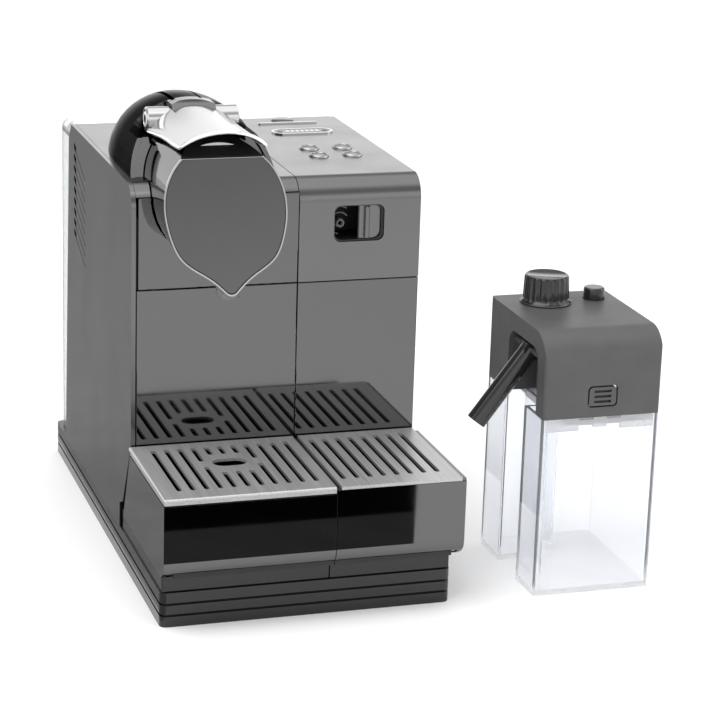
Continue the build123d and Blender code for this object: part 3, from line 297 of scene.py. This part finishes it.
finishes = {
    "body": lacquer("body_lacquer", 0.15, 0.16, 0.24),
    "mirror": lacquer("mirror_lacquer", 0.13, 0.03, 0.06, ripple=0.01),
    "head": lacquer("head_lacquer", 0.10, 0.05, 0.09),
    # the low edge tint is painted shade: it darkens the dome's flank reflection where the surroundings are
    # dark
    "dome": lacquer("dome_lacquer", 0.10, 0.14, 0.2, edge=0.25),
    "face": lacquer("face_lacquer", 0.15, 0.12, 0.18),
    "chrome": polished_metal("chrome_plate", 0.86, 0.03, 0.07),
    "bright_rim": polished_metal("bright_rim", 0.55, 0.12, 0.2),
    "steel": brushed_metal("brushed_steel", 0.5, (1, 0.02, 1), 0.34, 0.46, metallic=0.7),
    "inner_steel": brushed_metal("drawn_steel", 0.5, (1, 1, 0.05), 0.25, 0.4),
    "aluminium": moulded("cast_aluminium", 0.45, 0.4, 0.6, 1500, 0.05),
    "base": moulded("base_satin", 0.012, 0.14, 0.2, 2600, 0.002),
    "black": moulded("inner_black", 0.010, 0.45, 0.6, 2200, 0.02),
    "jug_grey": moulded("jug_grain", 0.062, 0.42, 0.5, 3200, 0.01),
    "gloss_black": moulded("gloss_black", 0.016, 0.08, 0.14, 900, 0.003),
    "rubber": moulded("rubber", 0.02, 0.7, 0.85, 1800, 0.03),
    "clear": clear_plastic("clear_plastic", (0.96, 0.97, 0.99), (0.72, 0.74, 0.95), 9.0, 0.0, 0.03),
    "tank": clear_plastic("tank_plastic", (0.97, 0.98, 0.99), (0.86, 0.88, 0.94), 3.0, 0.0, 0.02),
    "frosted": frosted_plastic("frosted_plastic", 0.9, 0.25, 0.4),
    "smoky": frosted_plastic("smoky_plastic", 0.30, 0.15, 0.25),
    "board": circuit_board("circuit_board"),
    "card_grey": matt_card("card_grey", 0.075),
    "card_mid": matt_card("card_mid", 0.27),
    "card_black": matt_card("card_black", 0.004),
    "lever": polished_metal("lever_chrome", 0.44, 0.10, 0.16),
    "key": polished_metal("key_satin", 0.34, 0.28, 0.36),
    "light_grey": moulded("pale_plastic", 0.62, 0.35, 0.5, 1800, 0.01),
    "mark": moulded("mark_ink", 0.30, 0.4, 0.5, 2400, 0.003),
    "dish": moulded("button_dish", 0.12, 0.3, 0.4, 2400, 0.004),
}

coverings = {
    "body": [
        "left_side_panel", "right_side_panel", "top_cover_left", "control_cover", "rear_cover",
        "lever_bracket", "steam_door",
        "espresso_button", "lungo_button", "cappuccino_button", "latte_button",
    ],
    "mirror": [
        "fascia_upper_left", "fascia_lower_left", "fascia_lower_right",
        "tray_front_left", "tray_front_right",
    ],
    "head": ["head_tube"],
    "dome": ["dome_cover"],
    "face": ["face_plate"],
    "bright_rim": ["face_bezel", "badge_plate"],
    "chrome": ["lever_handle"],
    "steel": ["cup_grid_left", "cup_grid_right"],
    "inner_steel": ["extraction_plate", "lever_pin", "steam_nozzle", "water_pump", "housing_screws"],
    "aluminium": ["thermoblock"],
    "base": ["base_pan", "tray_bed_left", "tray_bed_right"],
    "black": [
        "left_liner", "right_liner", "centre_wall", "brew_shelf", "brew_piston",
        "steam_port_liner", "drip_tray_left", "drip_tray_right", "capsule_bin",
        "tank_valve", "steam_connector",
    ],
    "rubber": ["rubber_feet", "cable_gland"],
    "clear": ["jug_container", "suction_tube"],
    "tank": ["water_tank", "tank_lid"],
    "smoky": ["coffee_spout"],
    "frosted": ["feed_hose", "brew_hose", "jug_insert"],
    "jug_grey": ["jug_head", "release_button"],
    "gloss_black": ["froth_knob", "clean_button", "milk_spout"],
    "board": ["control_board"],
}


# ---------------------------------------------------------------- cards round the machine
def add_cards():
    """Cards in front of the trays and left of the machine, for the glossy faces to reflect."""
    front, left = cad_bounds[0][1], -0.30
    near, split, far = front - 0.0945, front - 0.1545, front - 0.2425
    add_card("flag", finishes["card_black"], [
        (left, far), (0.142, far), (0.1105, split), (left, split),
    ])
    add_card("flag_rim", finishes["card_grey"], [
        (left, split), (0.1105, split), (0.089, near), (left, near),
    ])
    away, beside, start, rear = -1.6, -0.088, -0.4, 1.8
    add_card("side_flag", finishes["card_mid"], [
        (away, start), (beside, start), (beside, rear), (away, rear),
    ], z=0.0012)


# ---------------------------------------------------------------- CAD pieces
def soften(piece, width, angle=32.0):
    """Rounds the sharp edges of a moulded or pressed piece."""
    weld = piece.modifiers.new("weld", "WELD")
    weld.merge_threshold = 0.002 * MM
    flatten = piece.modifiers.new("flatten", "DECIMATE")
    flatten.decimate_type = "DISSOLVE"
    flatten.angle_limit = radians(0.4)
    bevel = piece.modifiers.new("bevel", "BEVEL")
    bevel.width = width
    bevel.segments = 2
    bevel.limit_method = "ANGLE"
    bevel.angle_limit = radians(angle)
    bevel.harden_normals = True
    normals = piece.modifiers.new("normals", "WEIGHTED_NORMAL")
    normals.keep_sharp = True


edge_widths = {
    0.4: [
        "left_side_panel", "right_side_panel", "top_cover_left", "control_cover",
        "fascia_upper_left", "fascia_lower_left", "fascia_lower_right",
        "tray_front_left", "tray_front_right", "dome_cover", "head_tube", "jug_head",
    ],
    0.5: ["lever_handle", "base_pan", "tray_bed_left", "tray_bed_right"],
}


def finish_cad_pieces():
    for finish, names in coverings.items():
        for name in names:
            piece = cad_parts[name]
            piece.data.materials.clear()
            piece.data.materials.append(finishes[finish])
    for width, names in edge_widths.items():
        for name in names:
            soften(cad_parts[name], width * MM)


# ---------------------------------------------------------------- shapes for detail pieces
def lathe(scale_at, outline, turns=64):
    """Closed body of revolution: outline holds (radius, z); scale_at(angle, z) scales each radius."""
    vertices, faces = [], []
    for radius, z in outline:
        for i in range(turns):
            angle = 2 * pi * i / turns
            reach = radius * scale_at(angle, z)
            vertices.append((reach * cos(angle), reach * sin(angle), z))
    rows = len(outline)
    for row in range(rows - 1):
        for i in range(turns):
            j = (i + 1) % turns
            a, b = row * turns, (row + 1) * turns
            faces.append((a + i, a + j, b + j, b + i))
    faces.append(tuple(reversed(range(turns))))
    faces.append(tuple((rows - 1) * turns + i for i in range(turns)))
    return vertices, faces


def plain_round(angle, z):
    return 1.0


def place(shape, origin):
    """Moves a shape drawn in millimetres to its origin in metres."""
    vertices, faces = shape
    ox, oy, oz = origin
    return [(ox + x * MM, oy + y * MM, oz + z * MM) for x, y, z in vertices], faces


def join(*shapes):
    vertices, faces = [], []
    for more_vertices, more_faces in shapes:
        start = len(vertices)
        vertices += more_vertices
        faces += [tuple(start + i for i in face) for face in more_faces]
    return vertices, faces


def slab(outline, low, high):
    """Flat plate between two heights with a drawn outline, anticlockwise."""
    count = len(outline)
    vertices = [(x, y, low) for x, y in outline] + [(x, y, high) for x, y in outline]
    faces = [tuple(reversed(range(count))), tuple(range(count, 2 * count))]
    for i in range(count):
        j = (i + 1) % count
        faces.append((i, j, count + j, count + i))
    return vertices, faces


def ring_slab(outer, inner, low, high):
    """Flat ring between two outlines with the same number of points."""
    count = len(outer)
    vertices = [(x, y, z) for z in (low, high) for line in (outer, inner) for x, y in line]
    faces = []
    for i in range(count):
        j = (i + 1) % count
        o0, i0, o1, i1 = 0, count, 2 * count, 3 * count
        faces += [
            (o0 + i, o0 + j, o1 + j, o1 + i), (i0 + j, i0 + i, i1 + i, i1 + j),
            (o1 + i, o1 + j, i1 + j, i1 + i), (o0 + j, o0 + i, i0 + i, i0 + j),
        ]
    return vertices, faces


def stadium(length, width, steps=20):
    """Outline with straight sides and round ends."""
    radius, straight = width / 2, (length - width) / 2
    points = []
    for side, start in ((1, -pi / 2), (-1, pi / 2)):
        for i in range(steps + 1):
            angle = start + pi * i / steps
            points.append((side * straight + radius * cos(angle), radius * sin(angle)))
    return points


def sweep(path, radius, turns=16):
    """Round bar along a list of points, closed at both ends."""
    vertices, faces = [], []
    count = len(path)
    side = Vector((0, 0, 1))
    for k, point in enumerate(path):
        ahead = Vector(path[min(k + 1, count - 1)]) - Vector(path[max(k - 1, 0)])
        ahead.normalize()
        if k == 0:
            side = ahead.cross(Vector((0, 0, 1)) if abs(ahead.z) < 0.9 else Vector((1, 0, 0)))
        side = (side - ahead * side.dot(ahead)).normalized()
        up = ahead.cross(side)
        for i in range(turns):
            angle = 2 * pi * i / turns
            spot = Vector(point) + side * (radius * cos(angle)) + up * (radius * sin(angle))
            vertices.append(tuple(spot))
    for k in range(count - 1):
        for i in range(turns):
            j = (i + 1) % turns
            a, b = k * turns, (k + 1) * turns
            faces.append((a + i, a + j, b + j, b + i))
    faces.append(tuple(reversed(range(turns))))
    faces.append(tuple((count - 1) * turns + i for i in range(turns)))
    return vertices, faces


def add_piece(name, shape, finish, body, smooth=40):
    vertices, faces = shape
    piece = new_mesh(name, vertices, faces)
    tidy = bmesh.new()
    tidy.from_mesh(piece.data)
    bmesh.ops.recalc_face_normals(tidy, faces=tidy.faces)
    tidy.to_mesh(piece.data)
    tidy.free()
    piece.data.materials.append(finishes[finish])
    piece.data.shade_smooth()
    piece.data.set_sharp_from_angle(angle=radians(smooth))
    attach(piece, body)
    return piece


def middle(node):
    """Centre in X and Y of a CAD piece, and its lowest and highest Z."""
    low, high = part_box(node)
    return (low[0] + high[0]) / 2, (low[1] + high[1]) / 2, low[2], high[2]


# ---------------------------------------------------------------- buttons, badge and trim
def cup_mark(width, saucer):
    """A plain cup seen from the side, lying flat on a button."""
    half, thick = width / 2, 0.12
    foot, lip, bottom, rim = half * 0.55, half * 0.9, -half * 0.7, half * 0.6
    bowl = slab([(-foot, bottom), (foot, bottom), (lip, rim), (-lip, rim)], 0, thick)
    outer, inner = stadium(half * 1.0, half * 0.8, 8), stadium(half * 0.6, half * 0.4, 8)
    vertices, faces = ring_slab(outer, inner, 0, thick)
    handle = ([(x + half * 1.15, y, z) for x, y, z in vertices], faces)
    shapes = [bowl, handle]
    if saucer:
        reach = half * 1.2
        shapes.append(slab([(-reach, -reach), (reach, -reach), (reach, -half), (-reach, -half)], 0, thick))
    return join(*shapes)


def add_button(node, mark_width, saucer):
    """Round key with a bevelled rim, a dark dish and a cup mark in the dish."""
    x, y, low, top = middle(node)
    foot, radius = (low - top) / MM, 5.85
    mark_depth, mark_shift = 0.72 * MM, 0.4 * MM
    cap = lathe(plain_round, [
        (3.0, foot), (3.0, -3.9), (radius, -3.9), (radius, -0.9), (radius - 0.25, -0.5),
        (radius - 0.9, -0.02), (radius - 1.15, 0.0), (radius - 1.35, -0.12), (radius - 1.5, -0.55),
        (radius - 2.4, -0.75), (radius - 4.0, -0.85),
    ])
    key = add_piece(node + "_cap", place(cap, (x, y, top)), "key", node)
    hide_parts(node)
    dish = lathe(plain_round, [
        (radius - 1.45, -0.62), (radius - 1.5, -0.5), (radius - 2.4, -0.68),
        (radius - 4.0, -0.78), (0.4, -0.8),
    ])
    add_piece(node + "_dish", place(dish, (x, y, top)), "dish", node)
    mark = place(cup_mark(mark_width, saucer), (x - mark_shift, y, top - mark_depth))
    add_piece(node + "_mark", mark, "mark", node, smooth=20)


def add_badge():
    """Oval plate with a raised rim, two studs and plain bars in place of lettering."""
    x, y, low, _ = middle("badge_plate")
    length, width, rim_width, rim_height = 38.5, 15.0, 1.6, 0.9
    opening = stadium(length - 2 * rim_width, width - 2 * rim_width)
    rim = ring_slab(stadium(length, width), opening, 0.0, rim_height)
    add_piece("badge_rim", place(rim, (x, y, low)), "bright_rim", "housing", smooth=30)
    field = slab(stadium(35.4, 11.9), 0.0, 0.45)
    plate = add_piece("badge_field", place(field, (x, y, low)), "mark", "housing", smooth=30)
    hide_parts("badge_plate")
    stud = lathe(plain_round, [(2.0, 0.0), (2.0, 0.7), (1.5, 1.0), (0.3, 1.1)], turns=24)
    stud_reach = 14.2 * MM
    for side, name in ((-1, "left"), (1, "right")):
        spot = (x + side * stud_reach, y, low)
        add_piece("badge_stud_" + name, place(stud, spot), "dish", "housing")
    bars, pitch, half, tall = 7, 3.1 * MM, 1.05, 2.3
    for k in range(bars):
        bar = slab([(-half, -tall), (half, -tall), (half, tall), (-half, tall)], 0.4, 0.85)
        spot = (x + (k - bars // 2) * pitch, y, low)
        add_piece("badge_bar_%d" % k, place(bar, spot), "bright_rim", "housing", smooth=20)


def add_top_trim():
    """A plain bright bar behind the badge and a low disc at the rear of the top."""
    x, _, top, _ = middle("badge_plate")
    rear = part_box("control_cover")[1][1]
    bar_spot = (x - 1.6 * MM, rear - 17.2 * MM, top)
    disc_spot = (x - 2.3 * MM, rear - 7.4 * MM, top)
    bar = join(slab(stadium(38.5, 3.0, 8), 0.0, 0.5), slab(stadium(37.5, 2.0, 8), 0.5, 0.9))
    add_piece("trim_bar", place(bar, bar_spot), "bright_rim", "housing", smooth=25)
    disc = lathe(plain_round, [(7.0, 0.0), (7.0, 0.5), (6.6, 0.8), (0.5, 0.9)])
    add_piece("top_disc", place(disc, disc_spot), "body", "housing")


# ---------------------------------------------------------------- lever
def lever_points(rows, columns):
    """Rows of points on the arched sheet, from the hinge to the nose."""
    (x0, nose, _), (x1, _, crown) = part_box("lever_handle")
    hinge_y = (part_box("lever_pin")[0][1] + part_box("lever_pin")[1][1]) / 2
    mid, half_back, half_tip = (x0 + x1) / 2, (x1 - x0) / 2, 24.0 * MM
    crown -= 0.3 * MM
    arch, nose_bow, hinge_shift = 33.0 * MM, 7 * MM, 1.2 * MM
    waist_depth, nose_flare, back_dip = 0.045, 1.0 * MM, 0.8 * MM
    points = []
    for j in range(rows + 1):
        v = j / rows
        half = (half_back + (half_tip - half_back) * v) * (1 - waist_depth * sin(pi * v) ** 2)
        edge = hinge_y + (nose + nose_bow - hinge_y) * v
        row = []
        for i in range(columns + 1):
            u = 2 * i / columns - 1
            x = half * u
            y = edge + (-nose_bow * (1 - u * u) * v * v + hinge_shift * v)
            drop = arch - sqrt(arch * arch - x * x)
            z = crown - drop + nose_flare * v * v * u * u - back_dip * sin(pi * v)
            row.append(Vector((mid + x, y, z)))
        points.append(row)
    return points


def add_lever_sheet():
    """Arched sheet with a rolled rim along its sides and nose."""
    rows, columns = 36, 40
    sheet, rim, rim_start = 1.5 * MM, 1.15 * MM, 4
    grid = lever_points(rows, columns)
    vertices, faces = [], []
    for lift in (0.0, -sheet):
        for row in grid:
            vertices += [(p.x, p.y, p.z + lift) for p in row]
    wide, size = columns + 1, (rows + 1) * (columns + 1)
    for j in range(rows):
        for i in range(columns):
            a = j * wide + i
            faces.append((a, a + 1, a + wide + 1, a + wide))
            faces.append((size + a + wide, size + a + wide + 1, size + a + 1, size + a))
    border = list(range(wide))
    border += [j * wide + columns for j in range(1, rows + 1)]
    border += [rows * wide + i for i in range(columns - 1, -1, -1)]
    border += [j * wide for j in range(rows - 1, 0, -1)]
    for a, b in zip(border, border[1:] + border[:1]):
        faces.append((a, size + a, size + b, b))
    left = [grid[j][0] for j in range(rim_start, rows + 1)]
    front = [grid[rows][i] for i in range(1, columns + 1)]
    right = [grid[j][columns] for j in range(rows - 1, rim_start - 1, -1)]
    roll = sweep([p - Vector((0, 0, rim * 0.7)) for p in left + front + right], rim)
    piece = add_piece("lever_sheet", (vertices, faces), "lever", "lever", smooth=50)
    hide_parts("lever_handle")
    add_piece("lever_rim", roll, "chrome", "lever", smooth=50)


def add_knuckles():
    """Round knuckles at both ends of the pin, with pale ends in dark rings."""
    (x0, _, _), (x1, _, _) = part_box("lever_handle")
    pin_low, pin_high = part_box("lever_pin")
    hinge_y, hinge_z = (pin_low[1] + pin_high[1]) / 2, (pin_low[2] + pin_high[2]) / 2
    mid, half = (x0 + x1) / 2, (x1 - x0) / 2
    length, radius = 14.0, 6.7
    knuckle = lathe(plain_round, [
        (3.0, 0.0), (radius - 0.5, 0.0), (radius, 0.5), (radius, length - 0.9),
        (radius - 0.9, length - 0.1), (radius - 1.6, length - 0.1), (radius - 1.9, length - 0.6),
        (3.0, length - 0.6),
    ])
    end = lathe(plain_round, [(4.1, length - 0.7), (4.1, length - 0.2), (3.8, length), (0.4, length)])
    for side, name in ((-1, "left"), (1, "right")):
        start = mid + side * (half - length * MM)
        for prefix, shape, finish in (
            ("knuckle_", knuckle, "bright_rim"), ("knuckle_end_", end, "light_grey"),
        ):
            turned = [
                (start + side * z * MM, hinge_y + x * MM, hinge_z + y * MM) for x, y, z in shape[0]
            ]
            add_piece(prefix + name, (turned, shape[1]), finish, "lever")


# ---------------------------------------------------------------- steam port and louvres
def round_rect(x0, x1, z0, z1, radius, steps=6):
    """Outline of a rounded rectangle, anticlockwise from its lower right corner."""
    points = []
    corners = ((x1 - radius, z0 + radius, -90), (x1 - radius, z1 - radius, 0),
               (x0 + radius, z1 - radius, 90), (x0 + radius, z0 + radius, 180))
    for cx, cz, start in corners:
        for i in range(steps + 1):
            angle = radians(start + 90 * i / steps)
            points.append((cx + radius * cos(angle), cz + radius * sin(angle)))
    return points


def add_port_and_door_shade():
    """Black frame inside the port's edge as painted shade in the opening, a black strip along the door's
    left edge, and a black strip beside the door's grip as a painted shadow line.
    """
    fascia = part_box("control_cover")[0][1]
    liner_low, liner_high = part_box("steam_port_liner")
    near, far = fascia + 1.1 * MM, fascia + 2.4 * MM
    x0, x1 = liner_low[0] + 2.7 * MM, liner_high[0] - 1.7 * MM
    z0, z1 = liner_low[2] + 1.7 * MM, liner_high[2] - 1.7 * MM
    outer = round_rect(x0, x1, z0, z1, 4.0 * MM)
    inner = round_rect(x0 + 0.5 * MM, x1 - 1.3 * MM, z0 + 0.7 * MM, z1 - 0.5 * MM, 4.2 * MM)
    vertices, faces = ring_slab(outer, inner, near, far)
    turned = [(x, y, z) for x, z, y in vertices]
    # painted shade: a black ring inside the port's opening stands in for the shade there
    add_piece("port_shade_frame", (turned, faces), "black", "housing", smooth=30)
    door_low, door_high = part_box("steam_door")
    face = door_low[1] + 2.0 * MM
    # painted shade: the strip beside the grip is a black line standing for a shadow line; the other strip
    # blackens the door's left edge
    for name, start, end in (("edge", 0.05, 0.75), ("shade_line", 6.0, 6.9)):
        left = door_low[0] + start * MM
        right = left + (end - start) * MM
        outline = [(left, door_low[2]), (right, door_low[2]), (right, door_high[2]), (left, door_high[2])]
        vertices, faces = slab(outline, face - 0.12 * MM, face + 0.3 * MM)
        turned = [(x, y, z) for x, z, y in vertices]
        add_piece("door_" + name, (turned, faces), "black", "steam_door", smooth=20)


def add_nozzle_details():
    """Collar round the steam nozzle and the curved guides beside it."""
    low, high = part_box("steam_nozzle")
    x, z = (low[0] + high[0]) / 2, (low[2] + high[2]) / 2
    profile = [(1.25, 0.0), (2.55, 0.0), (2.55, 1.6), (2.2, 2.0), (1.7, 2.0), (1.25, 1.5)]
    turns = 40
    vertices, faces = [], []
    for radius, depth in profile:
        for i in range(turns):
            angle = 2 * pi * i / turns
            spot = (x + radius * MM * cos(angle), low[1] - depth * MM, z + radius * MM * sin(angle))
            vertices.append(spot)
    for row in range(len(profile)):
        for i in range(turns):
            j, a, b = (i + 1) % turns, row * turns, (row + 1) % len(profile) * turns
            faces.append((a + i, a + j, b + j, b + i))
    add_piece("nozzle_collar", (vertices, faces), "dish", "housing")
    steps, wall, squeeze = 14, x - 5.2 * MM, 0.9
    for k, (reach, start, end) in enumerate(((6.2, 40, 150), (9.6, 62, 140), (6.4, 200, 260))):
        path = []
        for i in range(steps + 1):
            angle = radians(start + (end - start) * i / steps)
            px = max(x - 0.2 * MM + reach * MM * cos(angle) * squeeze, wall)
            path.append((px, low[1] - 0.6 * MM, z + reach * MM * sin(angle)))
        guide = sweep(path, 0.45 * MM, turns=10)
        add_piece("nozzle_guide_%d" % k, guide, "dish", "housing")


def add_louvre_vanes():
    """Vanes set just inside the slots of the side panels, and a pale screen at their rear ends."""
    count, pitch, tilt = 9, 6.7 * MM, radians(22.0)
    first_height, rear_reach = 138.0 * MM, 48.0 * MM
    vane_length, vane_width, vane_shift, set_back = 32.0, 3.5, 3.0, 0.25 * MM
    screen_y, screen_z = (40.0 * MM, 27.0 * MM), (136.0 * MM, 206.0 * MM)
    for side, suffix in ((-1, "left"), (1, "right")):
        low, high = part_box(suffix + "_side_panel")
        inner, outer = (high[0], low[0]) if side < 0 else (low[0], high[0])
        face = outer - side * set_back
        rear, foot = high[1], low[2]
        vanes = []
        for k in range(count):
            cy, cz = rear - rear_reach, foot + first_height + k * pitch
            outline = []
            for y, z in stadium(vane_length, vane_width, 8):
                y, z = (y - vane_shift) * MM, z * MM
                turned_y = cy + y * cos(tilt) - z * sin(tilt)
                turned_z = cz + y * sin(tilt) + z * cos(tilt)
                outline.append((turned_y, turned_z))
            vanes.append(slab(outline, min(inner, face), max(inner, face)))
        vertices, faces = join(*vanes)
        turned = [(x, y, z) for y, z, x in vertices]
        add_piece("louvre_vanes_" + suffix, (turned, faces), "body", "housing", smooth=20)
        edge = inner - side * 0.05 * MM
        y0, y1 = (rear - reach for reach in screen_y)
        z0, z1 = (foot + height for height in screen_z)
        outline = [(y0, z0), (y1, z0), (y1, z1), (y0, z1)]
        vertices, faces = slab(outline, edge, edge - side * 0.5 * MM)
        turned = [(x, y, z) for y, z, x in vertices]
        add_piece("louvre_screen_" + suffix, (turned, faces), "light_grey", "housing", smooth=20)


def add_scoop_shade():
    """Matt black sheet laid in the finger scoop under the lever's nose: painted shade where the nose
    shades the scoop.
    """
    low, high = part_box("face_plate")
    tube_low, tube_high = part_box("head_tube")
    centre = (low[0] + high[0]) / 2
    radius = (tube_high[0] - tube_low[0]) / 2
    axis_z = tube_high[2] - radius
    foot_y, foot_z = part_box("control_cover")[0][1] - 19.0 * MM, axis_z + 25.5 * MM
    run, rise, side_gap, steps = 26.0 * MM, 9.5 * MM, 0.985, 14
    outward, upward = -0.34, 0.94
    across = (-1.0, -0.5, 0.0, 0.5, 1.0)
    lines = []
    for i in range(steps + 1):
        y, z = foot_y + run * i / steps, foot_z + rise * i / steps
        half = sqrt(max(radius ** 2 - (z - axis_z) ** 2, 0.0)) * side_gap
        lines.append((half, y, z))
    vertices, faces = [], []
    for lift in (0.45 * MM, 0.12 * MM):
        for half, y, z in lines:
            vertices += [(centre + half * u, y + outward * lift, z + upward * lift) for u in across]
    wide = len(across)
    size, last = len(lines) * wide, steps * wide
    for j in range(steps):
        for i in range(wide - 1):
            a = j * wide + i
            faces.append((a, a + 1, a + wide + 1, a + wide))
            faces.append((size + a + wide, size + a + wide + 1, size + a + 1, size + a))
    border = list(range(wide)) + [j * wide + wide - 1 for j in range(1, steps + 1)]
    border += [last + i for i in range(wide - 2, -1, -1)] + [j * wide for j in range(steps - 1, 0, -1)]
    for a, b in zip(border, border[1:] + border[:1]):
        faces.append((a, size + a, size + b, b))
    # painted shade: the black sheet darkens the scoop under the lever's nose
    add_piece("scoop_shade_pad", (vertices, faces), "black", "housing", smooth=30)


# ---------------------------------------------------------------- jug controls
def add_froth_knob():
    """Fluted knob, narrower above, with a flared foot."""
    x, y, low, top = middle("froth_knob")
    stem = (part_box("jug_head")[1][2] - low) / MM
    height = (top - low) / MM
    flutes, flute_depth = 18, 0.055

    def fluted(angle, z):
        grip = stem + 3.0 < z < height - 1.0
        return 1.0 - (flute_depth * (0.5 - 0.5 * cos(flutes * angle)) ** 1.5 if grip else 0.0)

    outline = [
        (3.9, 0.0), (3.9, stem + 0.3), (14.6, stem + 0.3), (15.1, stem + 0.7), (15.0, stem + 1.3),
        (13.9, stem + 2.4), (13.5, stem + 3.1), (13.45, stem + 4.0), (13.0, height - 1.6),
        (12.9, height - 1.05), (12.6, height - 0.45), (11.9, height - 0.05), (11.2, height - 0.1),
        (10.8, height - 0.4), (0.5, height - 0.45),
    ]
    body = lathe(fluted, outline, turns=216)
    knob = add_piece("knob_body", place(body, (x, y, low)), "gloss_black", "froth_knob")
    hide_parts("froth_knob")
    ring = ring_slab(stadium(30.2, 30.19, 40), stadium(28.4, 28.39, 40), stem + 0.75, stem + 1.2)
    add_piece("knob_rim", place(ring, (x, y, low)), "bright_rim", "froth_knob")


def add_clean_button():
    """Round push button with a rounded top edge."""
    x, y, low, top = middle("clean_button")
    height = (top - low) / MM
    cap = lathe(plain_round, [
        (6.2, 0.0), (6.2, height - 1.2), (6.0, height - 0.5), (5.5, height - 0.05),
        (4.9, height), (0.4, height - 0.15),
    ])
    key = add_piece("clean_cap", place(cap, (x, y, low)), "gloss_black", "clean_button")
    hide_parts("clean_button")


# ---------------------------------------------------------------- the scene
add_camera()
add_world()
add_softbox("key", (-0.7, -0.5, 1.7), (0.0, 0.0, 0.1), (1.6, 1.6), 20.0)
add_softbox("fill", (1.6, -0.4, 0.9), (0.05, -0.05, 0.1), (1.0, 1.4), 6.0)
add_floor(floor_paper())
add_cards()
finish_cad_pieces()
for node, mark_width, saucer in (
    ("espresso_button", 2.6, True),
    ("lungo_button", 3.2, True),
    ("cappuccino_button", 3.0, False),
    ("latte_button", 2.8, False),
):
    add_button(node, mark_width, saucer)
add_badge()
add_top_trim()
add_lever_sheet()
add_knuckles()
add_nozzle_details()
add_port_and_door_shade()
add_louvre_vanes()
add_scoop_shade()
add_froth_knob()
add_clean_button()
# clear pieces cast no shadow
for name in ("jug_container", "water_tank", "tank_lid"):
    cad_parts[name].visible_shadow = False

bpy.context.scene.view_settings.view_transform = "Standard"
